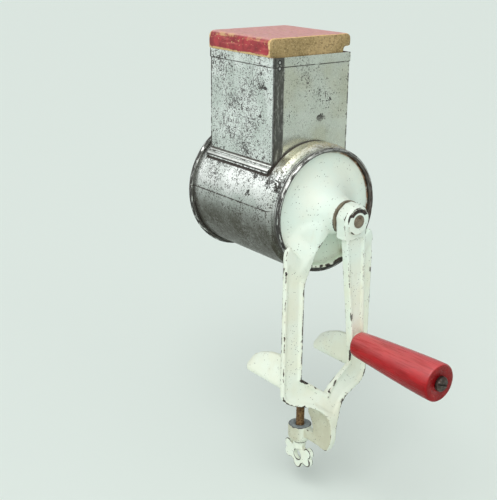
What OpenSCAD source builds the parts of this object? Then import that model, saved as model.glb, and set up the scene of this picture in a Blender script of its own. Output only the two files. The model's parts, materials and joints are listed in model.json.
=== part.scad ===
// Rotary drum grater that clamps to the edge of a table
// Sizes are in millimetres and +Z is up.
// Every size is measured from the axis of the drum, X to the right,
// Y away from the crank, with Y = 0 in the plane of the front rim.
// At the end the whole is moved so that the origin lies where the axis
// of the clamp screw meets the plane of the undersides of the feet.

// Piece to draw

/* [Housing] */
// Outer radius of the tin tube
tube_radius = 45.5; // [35:0.5:60]
// Thickness of the tin
tin = 0.6; // [0.4:0.1:1.2]
// Distance between the centres of the two rims
tube_length = 97; // [70:1:120]
// Length of the narrow mouth in front
mouth_length = 8; // [5:0.5:12]
// How much narrower the mouth is than the tube
mouth_step = 2.9; // [1:0.1:6]
// Radius of the front curl
front_curl = 1.3; // [1:0.05:2]
// Radius of the wire in the front curl
front_wire = 0.7; // [0.5:0.05:1]
// How far the circle of the front wire lies inside the mouth
ring_inset = 0.2; // [0:0.05:0.6]
// Radius of the rear curl
rear_curl = 1.85; // [1:0.05:3]
// Radius of the wire in the rear curl
rear_wire = 1.25; // [0.8:0.05:1.6]
// Width of the lapped seam along the tube
lap_width = 5; // [2:0.5:10]
// Height of the upper edge of that seam above the drum's axis
lap_height = 4.4; // [-10:0.1:10]

/* [Hopper] */
// Width of the hopper over its walls
hopper_width = 66.5; // [50:0.5:80]
// Depth of the hopper over its walls
hopper_depth = 72; // [50:1:85]
// Distance from the front rim to the hopper
hopper_front = 19; // [12:0.5:24]
// Height of the hopper's rim above the drum's axis
hopper_top = 104; // [80:1:130]
// Height of the folded hem round the rim
hem_height = 6.3; // [3:0.1:10]
// Thickness added by a fold
fold = 0.45; // [0.2:0.05:0.8]
// Width of the locked seam on the front wall
seam_width = 8.5; // [5:0.5:12]
// Width of the feet soldered to the tube
flange_width = 6.5; // [4:0.5:9]
// Gap filled with solder under the feet
solder_gap = 0.05; // [0.02:0.01:0.1]

/* [Pusher] */
// Thickness of the pusher's cap
cap_thickness = 12.5; // [8:0.5:18]
// How far the cap passes the hopper on each side
cap_overhang = 3; // [1:0.1:6]
// Radius of the cap's long upper edges
cap_round = 3.5; // [1:0.5:6]
// Height of the right overhang above the rim
cap_relief = 3.6; // [1:0.1:6]
// Side gap between the block and the hopper
block_gap = 0.65; // [0.3:0.05:1.5]
// Extra gap on the right side
block_step = 2.4; // [0:0.1:5]
// Free height between the block and the top of the tube
block_clearance = 1.5; // [0.5:0.5:20]

/* [Cast frame] */
// Thickness of the round front wall
disc_thickness = 3.5; // [2.5:0.1:6]
// Distance of its face behind the front rim
disc_face = 2.5; // [1:0.1:5]
// Radius of the hub
hub_radius = 12; // [9:0.5:16]
// How far the hub stands in front of the rim
hub_front = 19.5; // [12:0.5:26]
// How far the hub reaches behind the rim
hub_back = 10; // [7:0.5:11]
// Radius of the sweep from the hub to the wall
flare_radius = 22.2; // [15:0.1:30]
// Height of the lip between the legs
lip_height = 4.5; // [2:0.5:8]
// Width of that lip
lip_width = 2.4; // [1:0.1:4]
// Distance of the inner edge of a leg from the middle
leg_inner = 22.8; // [15:0.1:30]
// Distance of the outer edge of a leg from the middle
leg_outer = 40.3; // [34:0.1:48]
// Distance of a leg's front in front of the rim
leg_front = 6.3; // [3:0.1:10]
// Thickness of a leg from front to back
leg_depth = 3.8; // [3:0.1:8]
// Width of the raised borders of a leg
border = 2.35; // [1.5:0.05:4]
// Depth of the channel between them
channel = 1.5; // [0.5:0.1:2.5]
// Depth below the drum's axis at which the legs start to draw together
fork_top = 126; // [110:1:140]
// Depth of the notch where the legs meet
notch = 137; // [128:1:150]
// Distance of the foremost edge of the spine in front of the rim
spine_front = 17; // [10:0.5:25]
// Thickness of the spine
spine = 5.6; // [4:0.1:9]
// Distance of the throat's edge behind the rim
throat_edge = 9.5; // [5:0.5:10]

/* [Feet] */
// Depth of the undersides of the feet below the drum's axis
seat_depth = 124; // [110:1:140]
// Distance of a foot's middle from the middle
foot_middle = 32.4; // [24:0.1:40]
// Width of a foot
foot_width = 15; // [10:0.5:20]
// Distance of a foot's tip behind the rim
foot_reach = 41.5; // [25:0.5:60]
// Thickness of a foot's base
foot_base = 3.4; // [2:0.1:6]
// Height of a foot's ridge where it meets the leg
foot_height = 21; // [10:0.5:28]
// Height of a foot's ridge near the tip
foot_tip = 11.5; // [5:0.5:16]
// Width of the ridge
foot_ridge = 3; // [1:0.5:6]

/* [Clamp] */
// Distance of the screw behind the rim
clamp_reach = 21; // [15:0.5:35]
// Radius of the screw
screw_radius = 3.25; // [2.5:0.05:5]
// Radial clearance of the screw in its boss
screw_clearance = 0.08; // [0.02:0.01:0.1]
// Radius of the boss
boss_radius = 9; // [7:0.5:13]
// Depth of the boss's top below the drum's axis
boss_top = 174; // [160:1:190]
// Height of the boss's straight wall
boss_wall = 10; // [8:0.5:20]
// Height of its bevel
boss_bevel = 3.5; // [1:0.5:6]
// Radius of the swivel pad
pad_radius = 10; // [7:0.5:10.5]
// Thickness of the swivel pad
pad_thickness = 4; // [3:0.5:8]
// Depth of the pad's top below the drum's axis, clamp open
pad_top = 150; // [130:0.5:168]
// Thickness of the flat of the wing
wing_thickness = 4; // [2.5:0.5:6]
// Half of the span between the wing's ears
wing_span = 11; // [7:0.5:16]
// Radius of a lobe of the wing
wing_lobe = 4; // [2:0.1:5]
// Radius of the hole in the wing
wing_eye = 3.9; // [2:0.1:5]
// Gap between the boss and the wing
wing_gap = 0.6; // [0.3:0.1:5]
// Turn of the wing about the screw
wing_turn = 0; // [-90:1:90]

/* [Crank] */
// Turn of the crank about the drum's axis
crank_turn = -4.5; // [-180:0.5:180]
// Distance between the drum's axis and the grip's axis
crank_throw = 91.5; // [60:0.5:120]
// Radius of the crank's hub at the frame
crank_hub = 11; // [8:0.5:14]
// Radius of the crank's hub at the front
crank_nose = 9.5; // [7:0.5:12]
// Length of the crank's hub
crank_hub_length = 11.3; // [6:0.1:16]
// How far the nose stands out from the head
crank_step = 2.4; // [0.5:0.1:6]
// Thickness of the arm
arm_depth = 6; // [4:0.5:9]
// Distance of the arm's back in front of the hub's back
arm_offset = 2.8; // [0:0.1:6]
// Width of the arm near the hub
arm_top = 16.8; // [12:0.1:22]
// Width of the arm near the grip
arm_low = 12.1; // [8:0.1:16]
// Depth of the channel in the arm
arm_channel = 1.4; // [0.5:0.1:2.5]
// Width of the arm's raised borders
arm_border = 2; // [1:0.1:4]
// Thickness of the thrust washer
washer_thickness = 1.5; // [0.8:0.1:3]
// Free play along the shaft at each end of the bearing
end_play = 0.2; // [0.1:0.05:0.5]
// Radius of the shaft
shaft_radius = 5; // [4:0.1:7]
// Radial clearance of the shaft in its bearing
bearing_clearance = 0.06; // [0.02:0.01:0.1]
// Side of the square that carries the crank
crank_square = 6; // [5:0.1:7]
// Height of the riveted end of the shaft
rivet_head = 0.9; // [0.4:0.1:2]

/* [Grip] */
// Length of the wooden grip
grip_length = 76; // [50:1:100]
// Radius of the grip near the arm
grip_inner = 9.2; // [8:0.1:14]
// Radius of the grip at its outer end
grip_outer = 13.2; // [9:0.1:16]
// Height of the rounding at the grip's ends
grip_round = 2.2; // [1:0.1:5]
// Radius of the grip's bolt
bolt_radius = 2.95; // [2:0.05:4]
// Radial clearance of the bolt in the grip
grip_clearance = 0.08; // [0.02:0.01:0.1]
// Radius of the bolt's head
bolt_head = 5.1; // [4:0.1:8]
// Height of the bolt's head
bolt_head_height = 3.2; // [1.5:0.1:5]
// Width of the slot in the head
slot_width = 1.4; // [0.8:0.1:2.5]
// Depth of the slot in the head
slot_depth = 1.3; // [0.5:0.1:2]

/* [Drum] */
// Distance of the drum's front edge behind the rim
drum_front = 12; // [11:0.5:20]
// How far the drum ends inside the tube
drum_recess = 3; // [1:0.5:20]
// Free space between the drum's shell and the tube
drum_gap = 3.9; // [2:0.1:9]
// Thickness of the drum's sheet
drum_sheet = 0.7; // [0.4:0.1:1.2]
// Number of flats on each of the drum's four panels
panel_flats = 6; // [3:1:8]
// Number of rings of holes
drum_rings = 6; // [2:1:9]
// Distance between rings of holes
ring_pitch = 12; // [8:0.5:20]
// Distance of the first ring behind the drum's front edge
ring_start = 7.5; // [5:0.5:12]
// Radius of a hole in the drum
hole_radius = 2.5; // [1:0.1:3.5]
// Radius of the bead round the open rear edge
drum_bead = 1.2; // [0.8:0.1:2]
// Radius of the plate on the hub
hub_plate_radius = 12; // [9:0.5:16]
// Thickness of that plate
hub_plate = 2; // [1:0.1:4]
// Side of the square that carries the drum
drum_square = 7; // [5:0.1:7]
// Clearance between a square and its hole
square_clearance = 0.1; // [0.05:0.01:0.3]
// Radius of the collar in front of the drum
collar_radius = 7; // [6:0.1:8]
// Radius of the circle of rivets
rivet_circle = 9.4; // [8:0.1:12]
// Radius of a rivet
rivet_radius = 1.2; // [0.8:0.1:2]
// Radius of a rivet's head
rivet_head_radius = 1.9; // [1.2:0.1:3]
// Height of a rivet's head
rivet_head_height = 0.7; // [0.3:0.1:1.5]
// Radius of the thread that holds the drum
stud_radius = 3; // [2:0.1:4]
// Distance of the stud's end behind the rim
stud_end = 27; // [22:0.5:35]
// Thickness of the washer under the nut
nut_washer = 1.2; // [0.6:0.1:2]
// Length of the wing nut
nut_length = 8; // [5:0.5:12]
// Half of the span of the wing nut
nut_span = 15.5; // [10:0.5:20]

/* [Hidden] */
fine = 96;
round_fn = 48;
tube_inner = tube_radius - tin;
lap_low = 180 - asin(lap_height / tube_radius);
lap_high = lap_low + lap_width / tube_radius * 57.3;
mouth_radius = tube_radius - mouth_step;
front_ring = mouth_radius - ring_inset;
drum_radius = tube_inner - drum_gap;
drum_rear = tube_length - drum_recess;
drum_flats = 4 * panel_flats;
flat_angle = 360 / drum_flats;
block_bottom = tube_radius + block_clearance;
mouth_inner = mouth_radius - tin;
front_lip = front_ring - front_curl;
rear_ring = tube_inner + rear_curl;
rear_lip = rear_ring - rear_curl;
curl_gap = 0.5;
hole_side = hopper_width / 2 - tin;
hopper_back = hopper_front + hopper_depth;
cap_left = -hopper_width / 2 - cap_overhang;
cap_right = hopper_width / 2 + cap_overhang - 0.6;
cap_top = hopper_top + cap_thickness;
bearing = shaft_radius + bearing_clearance;
disc_radius = mouth_inner - 0.05;
flare_middle = hub_radius + flare_radius;
pocket_floor = disc_face + 0.3;
lip_radius = front_lip - 0.15;
leg_back = leg_front - leg_depth;
leg_top = 18;
strut_skin = leg_front - channel - 0.1;
arm_back = hub_front + end_play + washer_thickness + arm_offset;
arm_front = arm_back + arm_depth;
arm_end = arm_low / 2 - 0.15;
hub_seat = hub_front + end_play + washer_thickness;
nose = hub_seat + crank_hub_length;
square_socket = crank_square + square_clearance;
grip_start = arm_front + 0.3;
grip_end = grip_start + grip_length;
collar_front = hub_back + end_play;
square_end = drum_front + hub_plate + drum_sheet - 0.1;
washer_front = drum_front + hub_plate + drum_sheet;
nut_front = washer_front + nut_washer;
boss_bottom = boss_top + boss_wall + boss_bevel;
wing_top = boss_bottom + wing_gap;
wing_hub = 6.5;
wing_middle = wing_top + 12;
sweep_steps = 9;

// Helpers

// a turned body about the drum's axis, profile x = radius, y = distance back
module turned() {
  rotate([-90, 0, 0])
    rotate_extrude($fn = fine)
      children();
}

// part of a turned body between two heights of angle above the right side
module turned_part(low, high) {
  rotate([-90, 0, 0])
    rotate([0, 0, -high])
      rotate_extrude(angle = high - low, $fn = fine)
        children();
}

// a shape seen from the front, between two distances behind the rim
module from_front(start, end) {
  translate([0, end, 0])
    rotate([90, 0, 0])
      linear_extrude(end - start)
        children();
}

// a shape seen from the side, between two distances to the right
module from_side(start, end) {
  translate([start, 0, 0])
    rotate([90, 0, 90])
      linear_extrude(end - start)
        children();
}

// both sides of the middle plane
module both_sides() {
  children();
  mirror([1, 0, 0])
    children();
}

// moves the origin to the clamp
module placed() {
  translate([0, -clamp_reach, seat_depth])
    children();
}

// turns with the crank
module with_crank() {
  placed()
    rotate([0, crank_turn, 0])
      children();
}

// housing

module housing_section() {
  // tube and mouth
  polygon([
    [front_lip, 0],
    [front_lip, front_curl],
    [mouth_inner, front_curl + 1.1],
    [mouth_inner, mouth_length],
    [tube_inner, mouth_length + 2],
    [tube_inner, tube_length],
    [tube_radius, tube_length],
    [tube_radius, mouth_length + 1.8],
    [mouth_radius, mouth_length - 0.2],
    [mouth_radius, front_curl + 1.2],
    [front_lip + tin, front_curl],
    [front_lip + tin, 0]
  ]);
  // front curl, open beside the mouth
  difference() {
    translate([front_ring, 0])
      circle(r = front_curl, $fn = round_fn);
    translate([front_ring, 0])
      circle(r = front_wire, $fn = round_fn);
    translate([front_ring - 0.1, 0])
      square([curl_gap, 3]);
  }
  // rear curl, open beside the tube
  difference() {
    translate([rear_ring, tube_length])
      circle(r = rear_curl, $fn = round_fn);
    translate([rear_ring, tube_length])
      circle(r = rear_wire, $fn = round_fn);
    translate([rear_ring - 0.1, tube_length - 3])
      square([curl_gap, 3]);
  }
}

module housing_tube() {
  color("gainsboro")
    placed()
      difference() {
        union() {
          turned()
            housing_section();
          // lapped seam on the left side
          turned_part(lap_low, lap_high)
            translate([tube_radius - 0.1, mouth_length + 2.5])
              square([0.5, tube_length - mouth_length - 5.5]);
        }
        // mouth of the hopper
        translate([-hole_side, hopper_front + tin, 1])
          cube([2 * hole_side, hopper_depth - 2 * tin, tube_radius + 5]);
      }
}

module front_rim_wire() {
  color("dimgray")
    placed()
      turned()
        translate([front_ring, 0])
          circle(r = front_wire, $fn = round_fn);
}

module rear_rim_wire() {
  color("dimgray")
    placed()
      turned()
        translate([rear_ring, tube_length])
          circle(r = rear_wire, $fn = round_fn);
}

// hopper

module hopper_foot() {
  // soldered foot along one side wall with a folded edge and a ridge
  root = acos((hopper_width / 2 - 0.5 * tin) / (tube_radius + tin + solder_gap));
  end = root - flange_width / tube_radius * 57.3;
  turned_part(end, root)
    translate([tube_radius - 0.5, hopper_front + 0.1])
      square([tin + solder_gap + 0.5, hopper_depth - 0.2]);
  turned_part(end - 0.3, end + 2.6)
    translate([tube_radius - 0.5, hopper_front + 0.3])
      square([tin + fold + solder_gap + 0.5, hopper_depth - 0.6]);
  turned_part(end + 4.4, end + 5.6)
    translate([tube_radius - 0.5, hopper_front + 0.3])
      square([tin + fold + solder_gap + 0.5, hopper_depth - 0.6]);
}

module hopper() {
  color("silver")
    placed()
      difference() {
        union() {
          // walls
          translate([-hopper_width / 2, hopper_front, 1])
            cube([hopper_width, hopper_depth, hopper_top - 1]);
          // folded hem
          translate([-hopper_width / 2 - fold, hopper_front - fold, hopper_top - hem_height])
            cube([hopper_width + 2 * fold, hopper_depth + 2 * fold, hem_height]);
          // locked seam
          translate([-hopper_width / 2, hopper_front - fold, 1])
            cube([seam_width, 1, hopper_top - 1 - hem_height / 2]);
          // spots of solder on the seam
          for (spot = [hopper_top - 9.5, hopper_top - 14])
            translate([-hopper_width / 2 + seam_width, hopper_front + 0.2, spot])
              rotate([90, 0, 0])
                cylinder(h = 1, r1 = 1.4, r2 = 0.8, $fn = round_fn);
          both_sides()
            hopper_foot();
        }
        translate([-hole_side, hopper_front + tin, 0])
          cube([2 * hole_side, hopper_depth - 2 * tin, hopper_top + 1]);
        // lies on the tube
        turned()
          square([tube_radius + solder_gap, tube_length + 4]);
      }
}

// pusher

module pusher_outline() {
  difference() {
    union() {
      // cap
      translate([cap_left + cap_round, hopper_top + cap_relief])
        square([cap_right - cap_left - 2 * cap_round, cap_thickness - cap_relief]);
      translate([cap_left, hopper_top + cap_relief])
        square([cap_right - cap_left, cap_thickness - cap_relief - cap_round]);
      translate([cap_left + cap_round, cap_top - cap_round])
        circle(r = cap_round, $fn = round_fn);
      translate([cap_right - cap_round, cap_top - cap_round])
        circle(r = cap_round, $fn = round_fn);
      // left side rests on the rim
      translate([cap_left, hopper_top])
        square([20, cap_relief + 1]);
      // block in the hopper
      translate([-hole_side + block_gap, block_bottom])
        square([2 * hole_side - 2 * block_gap - block_step, cap_top - block_bottom - 2 * cap_round]);
    }
  }
}

module pusher() {
  color("firebrick")
    placed()
      from_front(hopper_front + tin + block_gap, hopper_back - tin - block_gap)
        pusher_outline();
}

// cast frame

// smooth step from 0 to 1
function sweep(t) = (1 - cos(180 * t)) / 2;

module wall_section() {
  difference() {
    union() {
      translate([0, disc_face])
        square([disc_radius, disc_thickness]);
      translate([0, -hub_front])
        square([hub_radius, hub_front + hub_back]);
      difference() {
        translate([0, -hub_front])
          square([flare_middle, hub_front + disc_face + 0.5]);
        translate([flare_middle, -hub_front])
          circle(r = flare_radius, $fn = fine);
      }
    }
    translate([0, -hub_front - 1])
      square([bearing, hub_front + hub_back + 2]);
  }
}

// flat pocket between the struts
module pocket_shape() {
  difference() {
    polygon([
      [-6, -9], [6, -9], [leg_inner, -37], [leg_inner + 6, -48],
      [-leg_inner - 6, -48], [-leg_inner, -37]
    ]);
    circle(r = 15, $fn = fine);
  }
}

module station(point) {
  // thin block from a point on the strut's face back into the wall
  translate(point)
    cube([0.8, disc_face + 0.2 - point[1], 0.8]);
}

module strut() {
  // falls from the hub to the top of a leg, flush with the wall along its upper edge
  upper = [
    [hub_radius + 0.5, -12.4, -3.5],
    [25.5, disc_face - 0.9, -12],
    [leg_outer - 1.8, disc_face - 0.3, -leg_top - 4.5]
  ];
  ridge = [
    [6.8, -13, -10.4],
    [15, -8.9, -25],
    [leg_inner, -strut_skin, -40]
  ];
  intersection() {
    union() {
      hull() {
        station(upper[0]);
        station(ridge[0]);
        station(upper[1]);
        station(ridge[1]);
      }
      hull() {
        station(upper[1]);
        station(ridge[1]);
        station(upper[2]);
        station(ridge[2]);
        translate([leg_inner, -strut_skin, -leg_top - 34])
          cube([leg_outer - leg_inner - 1, strut_skin - leg_back, 4]);
      }
    }
    union() {
      turned()
        translate([0, -20])
          square([lip_radius - 0.4, 20 + disc_face + 1]);
      translate([0, -20, -60])
        cube([60, 20 - leg_back, 60]);
    }
  }
}

module fork_half_outline() {
  // right leg and right arm of the fork, seen from the front
  polygon([
    [leg_inner, -leg_top - 16],
    [leg_inner, -fork_top + 6],
    [0, -notch],
    [-0.2, -notch - 0.2],
    [-0.2, -notch - 29],
    [spine / 2, -notch - 29],
    [spine / 2 + 0.8, -notch - 21],
    [spine / 2 + 3.8, -notch - 13.8],
    [spine / 2 + 6.8, -notch - 10.2],
    [spine / 2 + 10.7, -notch - 7.5],
    [leg_outer - 21.8, -notch - 5.1],
    [leg_outer - 15.1, -notch - 3],
    [leg_outer - 8.4, -notch - 1],
    [leg_outer - 3.7, -fork_top - 9.3],
    [leg_outer - 0.9, -fork_top - 6.4],
    [leg_outer, -fork_top - 3],
    [leg_outer, -leg_top - 7],
    [leg_outer - 0.5, -leg_top - 4],
    [leg_outer - 1.6, -leg_top - 1.6],
    [leg_outer - 3.4, -leg_top]
  ]);
}

module channel_half_outline() {
  // floor between the borders of the right leg and arm
  polygon([
    [leg_inner + border, -leg_top - 26],
    [leg_inner + border, -fork_top + 5],
    [0, -notch - 1.4 * border],
    [-0.1, -notch - 1.4 * border],
    [-0.1, -notch - 13],
    [spine / 2 + 1, -notch - 11.4],
    [spine / 2 + 5.2, -notch - 7.8],
    [spine / 2 + 9.8, -notch - 5],
    [leg_outer - 22.5, -notch - 2.7],
    [leg_outer - 15.8, -notch - 0.6],
    [leg_outer - 9.3, -fork_top - 9.6],
    [leg_outer - 5.1, -fork_top - 7.4],
    [leg_outer - 3, -fork_top - 5],
    [leg_outer - border, -fork_top - 2],
    [leg_outer - border, -leg_top - 12]
  ]);
}

// the fork comes forward on its way down, seen from the side
front_line = [
  for (i = [0 : sweep_steps])
    [-leg_front - (spine_front - leg_front) * sweep(i / sweep_steps), -fork_top - 3 - 28 * i / sweep_steps]
];
back_line = [
  for (i = [0 : sweep_steps])
    [
      -leg_back - (spine_front - leg_front) * sweep(1 - i / sweep_steps),
      -fork_top - 33 + 28 * i / sweep_steps
    ]
];

module fork_side() {
  polygon(concat(
    [[-leg_front, -leg_top]],
    front_line,
    [[-spine_front, -notch - 31], [-spine_front + 4.5, -notch - 31]],
    back_line,
    [[-leg_back, -leg_top]]
  ));
}

module channel_side() {
  translate([channel, 0])
    polygon(concat(
      [[-leg_front, -leg_top]],
      front_line,
      [[-spine_front, -notch - 31], [-spine_front - 9, -notch - 31], [-spine_front - 9, -leg_top]]
    ));
}

module fork_channel() {
  intersection() {
    from_front(-30, 0)
      both_sides()
        channel_half_outline();
    from_side(-60, 60)
      channel_side();
  }
}

module fork() {
  intersection() {
    from_front(-30, 0)
      both_sides()
        fork_half_outline();
    from_side(-60, 60)
      fork_side();
  }
}

module spine_side() {
  polygon([
    [-4.5, -notch - 1.5],
    [1.5, -notch - 4],
    [6, -notch - 8],
    [8.6, -notch - 12],
    [throat_edge, -notch - 16],
    [throat_edge, -boss_top + 15],
    [throat_edge - 1.8, -boss_top + 13.4],
    [throat_edge - 3.3, -boss_top + 11.4],
    [throat_edge - 4.6, -boss_top + 8.6],
    [throat_edge - 5.6, -boss_top + 5],
    [throat_edge - 6.5, -boss_top],
    [clamp_reach, -boss_top],
    [clamp_reach, -boss_top - boss_wall + 1],
    [clamp_reach - boss_radius, -boss_top - boss_wall + 2],
    [0, -boss_top - boss_wall + 2],
    [-4.5, -boss_top - boss_wall + 1.8],
    [-5.2, -boss_top - boss_wall + 1.2],
    [-spine_front + 6, -boss_top - boss_wall + 1.2],
    [-spine_front + 4.2, -boss_top - boss_wall + 2.4],
    [-spine_front + 2.4, -boss_top - 4.4],
    [-spine_front + 1, -boss_top - 1.2],
    [-spine_front, -boss_top + 2.5],
    [-spine_front, -boss_top + 16],
    [-spine_front + 0.6, -notch - 16],
    [-spine_front + 2.8, -notch - 11],
    [-spine_front + 6, -notch - 6.5],
    [-8, -notch - 1.5]
  ]);
}

module foot() {
  translate([foot_middle, 0, -seat_depth])
    hull() {
      translate([-foot_width / 2, -leg_back - 0.6, 0])
        cube([foot_width, 20, foot_base]);
      translate([0, foot_reach - foot_width / 2, 0])
        cylinder(h = foot_base, r = foot_width / 2, $fn = 32);
      translate([-foot_ridge / 2, -leg_back - 0.6, foot_height - 3])
        cube([foot_ridge, 9, 2.6]);
      translate([-foot_ridge / 2, 1, foot_height - 1])
        cube([foot_ridge, 8, 1]);
      translate([-foot_ridge / 2, foot_reach - 25.5, foot_height - 2.2])
        cube([foot_ridge, 1, 1]);
      translate([-foot_ridge / 2, foot_reach - 14.5, foot_height - 6])
        cube([foot_ridge, 1, 1]);
      translate([-foot_ridge / 2, foot_reach - 7, foot_tip - 1])
        cube([foot_ridge, 1, 1]);
    }
}

module cast_frame() {
  color("ivory")
    placed()
      difference() {
        union() {
          // round wall, hub and sweep, flat between the struts
          difference() {
            turned()
              wall_section();
            from_front(-25, pocket_floor)
              pocket_shape();
          }
          // lip along the lower edge
          turned_part(-126, -54)
            translate([lip_radius - lip_width, disc_face - lip_height])
              square([lip_width, lip_height + 0.6]);
          both_sides()
            strut();
          fork();
          from_side(-spine / 2, spine / 2)
            spine_side();
          // boss of the screw
          translate([0, clamp_reach, -boss_top - boss_wall])
            cylinder(h = boss_wall, r = boss_radius, $fn = fine);
          translate([0, clamp_reach, -boss_bottom])
            cylinder(h = boss_bevel, r1 = boss_radius - 2, r2 = boss_radius, $fn = fine);
          both_sides()
            foot();
        }
        fork_channel();
        // bearing of the shaft
        rotate([-90, 0, 0])
          translate([0, 0, -hub_front - 1])
            cylinder(h = hub_front + hub_back + 2, r = bearing, $fn = fine);
        // thread of the clamp
        translate([0, clamp_reach, -boss_bottom - 1])
          cylinder(h = boss_wall + boss_bevel + 2, r = screw_radius + screw_clearance, $fn = fine);
      }
}

// crank

module crank_shaft() {
  color("gray")
    with_crank()
      difference() {
        union() {
          // journal
          turned()
            translate([0, -hub_seat])
              square([shaft_radius, hub_seat + collar_front]);
          // collar
          turned()
            translate([0, collar_front])
              square([collar_radius, drum_front - collar_front]);
          // square for the crank
          translate([-crank_square / 2, -nose, -crank_square / 2])
            cube([crank_square, nose - hub_seat + 1, crank_square]);
          // riveted end
          turned()
            polygon([
              [0, -nose - rivet_head], [3.2, -nose - rivet_head],
              [4.5, -nose - 0.3], [4.5, -nose], [0, -nose]
            ]);
          // square for the drum
          translate([-drum_square / 2, drum_front - 1, -drum_square / 2])
            cube([drum_square, square_end - drum_front + 1, drum_square]);
          // thread for the nut
          turned()
            translate([0, square_end - 1])
              polygon([
                [0, 0], [stud_radius, 0], [stud_radius, stud_end - square_end],
                [stud_radius - 0.8, stud_end - square_end + 1], [0, stud_end - square_end + 1]
              ]);
        }
      }
}

module thrust_washer() {
  color("darkgray")
    with_crank()
      turned()
        translate([shaft_radius + 0.1, -hub_seat])
          square([hub_radius - 0.2 - shaft_radius, washer_thickness]);
}

module arm_outline() {
  difference() {
    union() {
      polygon([
        [-9, 0], [9, 0], [arm_top / 2, -16],
        [arm_top / 2 - 0.8, -0.4 * crank_throw], [arm_low / 2, -0.8 * crank_throw], [arm_end, -crank_throw],
        [-arm_end, -crank_throw], [-arm_low / 2, -0.8 * crank_throw], [0.8 - arm_top / 2, -0.4 * crank_throw],
        [-arm_top / 2, -16]
      ]);
      translate([0, -crank_throw])
        circle(r = arm_end, $fn = round_fn);
    }
    translate([0, -crank_throw])
      circle(r = bolt_radius + 0.05, $fn = round_fn);
  }
}

module arm_channel_outline() {
  difference() {
    polygon([
      [-arm_top / 2 + arm_border, -13], [arm_top / 2 - arm_border, -13],
      [arm_top / 2 - 0.8 - arm_border, -0.4 * crank_throw], [arm_low / 2 - arm_border, -0.8 * crank_throw],
      [arm_end - arm_border, -crank_throw + 4], [arm_border - arm_end, -crank_throw + 4],
      [arm_border - arm_low / 2, -0.8 * crank_throw], [arm_border + 0.8 - arm_top / 2, -0.4 * crank_throw]
    ]);
    translate([0, -crank_throw])
      circle(r = 7, $fn = round_fn);
  }
}

module head_outline() {
  polygon([
    [-0.95 * crank_hub, -12], [-0.95 * crank_hub, 0.3 * crank_hub],
    [-0.72 * crank_hub, 0.66 * crank_hub], [-0.2 * crank_hub, 0.98 * crank_hub],
    [0.3 * crank_hub, crank_hub], [0.72 * crank_hub, 0.75 * crank_hub],
    [0.95 * crank_hub, 0.3 * crank_hub], [0.95 * crank_hub, -0.3 * crank_hub], [arm_top / 2, -12]
  ]);
}

module crank_arm() {
  color("ivory")
    with_crank()
      difference() {
        union() {
          difference() {
            from_front(-arm_front, -arm_back)
              arm_outline();
            from_front(-arm_front - 1, -arm_front + arm_channel)
              arm_channel_outline();
          }
          // head with flat sides, and the round nose in front of it
          from_front(-nose + crank_step, -hub_seat)
            head_outline();
          turned()
            polygon([
              [0, -hub_seat], [crank_nose + 0.5, -hub_seat],
              [crank_nose, -nose + 0.6], [crank_nose - 0.6, -nose], [0, -nose]
            ]);
        }
        // square hole
        translate([-square_socket / 2, -nose - 1, -square_socket / 2])
          cube([square_socket, crank_hub_length + 2, square_socket]);
      }
}

module at_grip() {
  translate([0, 0, -crank_throw])
    children();
}

module crank_grip() {
  bore = bolt_radius + grip_clearance;
  color("crimson")
    with_crank()
      at_grip()
        turned()
          polygon([
            [bore, -grip_start],
            [grip_inner - grip_round, -grip_start],
            [grip_inner - 0.4 * grip_round, -grip_start - 0.25 * grip_round],
            [grip_inner, -grip_start - grip_round],
            [grip_inner + 0.35 * (grip_outer - grip_inner), -grip_start - 0.3 * grip_length],
            [grip_inner + 0.75 * (grip_outer - grip_inner), -grip_start - 0.65 * grip_length],
            [grip_outer, -grip_end + grip_round],
            [grip_outer - 0.3 * grip_round, -grip_end + 0.3 * grip_round],
            [grip_outer - grip_round, -grip_end],
            [bore, -grip_end]
          ]);
}

module grip_bolt() {
  head = grip_end + 0.25;
  color("dimgray")
    with_crank()
      at_grip()
        difference() {
          turned()
            polygon([
              [0, -arm_back + 0.5],
              [bolt_radius - 0.5, -arm_back + 0.5],
              [bolt_radius, -arm_back],
              [bolt_radius, -head],
              [bolt_head, -head],
              [bolt_head, -head - 0.55 * bolt_head_height],
              [0.8 * bolt_head, -head - 0.9 * bolt_head_height],
              [0.4 * bolt_head, -head - bolt_head_height],
              [0, -head - bolt_head_height]
            ]);
          // slot
          rotate([0, 25, 0])
            translate([-bolt_head - 1, -head - bolt_head_height - 1, -slot_width / 2])
              cube([2 * bolt_head + 2, slot_depth + 1, slot_width]);
        }
}

// drum

// one of the four bent sheets that make the drum, drawn on the right and turned by quarters
module drum_panel(turn) {
  ring_inner = (drum_radius - drum_sheet) * cos(flat_angle / 2) - 0.05;
  reach = drum_radius + 2;
  color("lightgray")
    with_crank()
      rotate([0, turn * 90, 0])
        union() {
          difference() {
            from_front(drum_front + 1.5, drum_rear - 1.5)
              intersection() {
                difference() {
                  rotate(45)
                    circle(r = drum_radius, $fn = drum_flats);
                  rotate(45)
                    circle(r = drum_radius - drum_sheet, $fn = drum_flats);
                }
                polygon([[0, 0], [reach, -reach], [reach, reach]]);
              }
            panel_holes(turn);
          }
          // plain bands at both ends, the rear one beaded
          turned_part(-45, 45)
            translate([ring_inner, drum_front])
              square([drum_radius + 0.1 - ring_inner, 3]);
          turned_part(-45, 45) {
            translate([ring_inner, drum_rear - 3])
              square([drum_radius + 0.1 - ring_inner, 3]);
            translate([drum_radius + 0.1, drum_rear - drum_bead])
              circle(r = drum_bead, $fn = 24);
          }
        }
}

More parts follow.
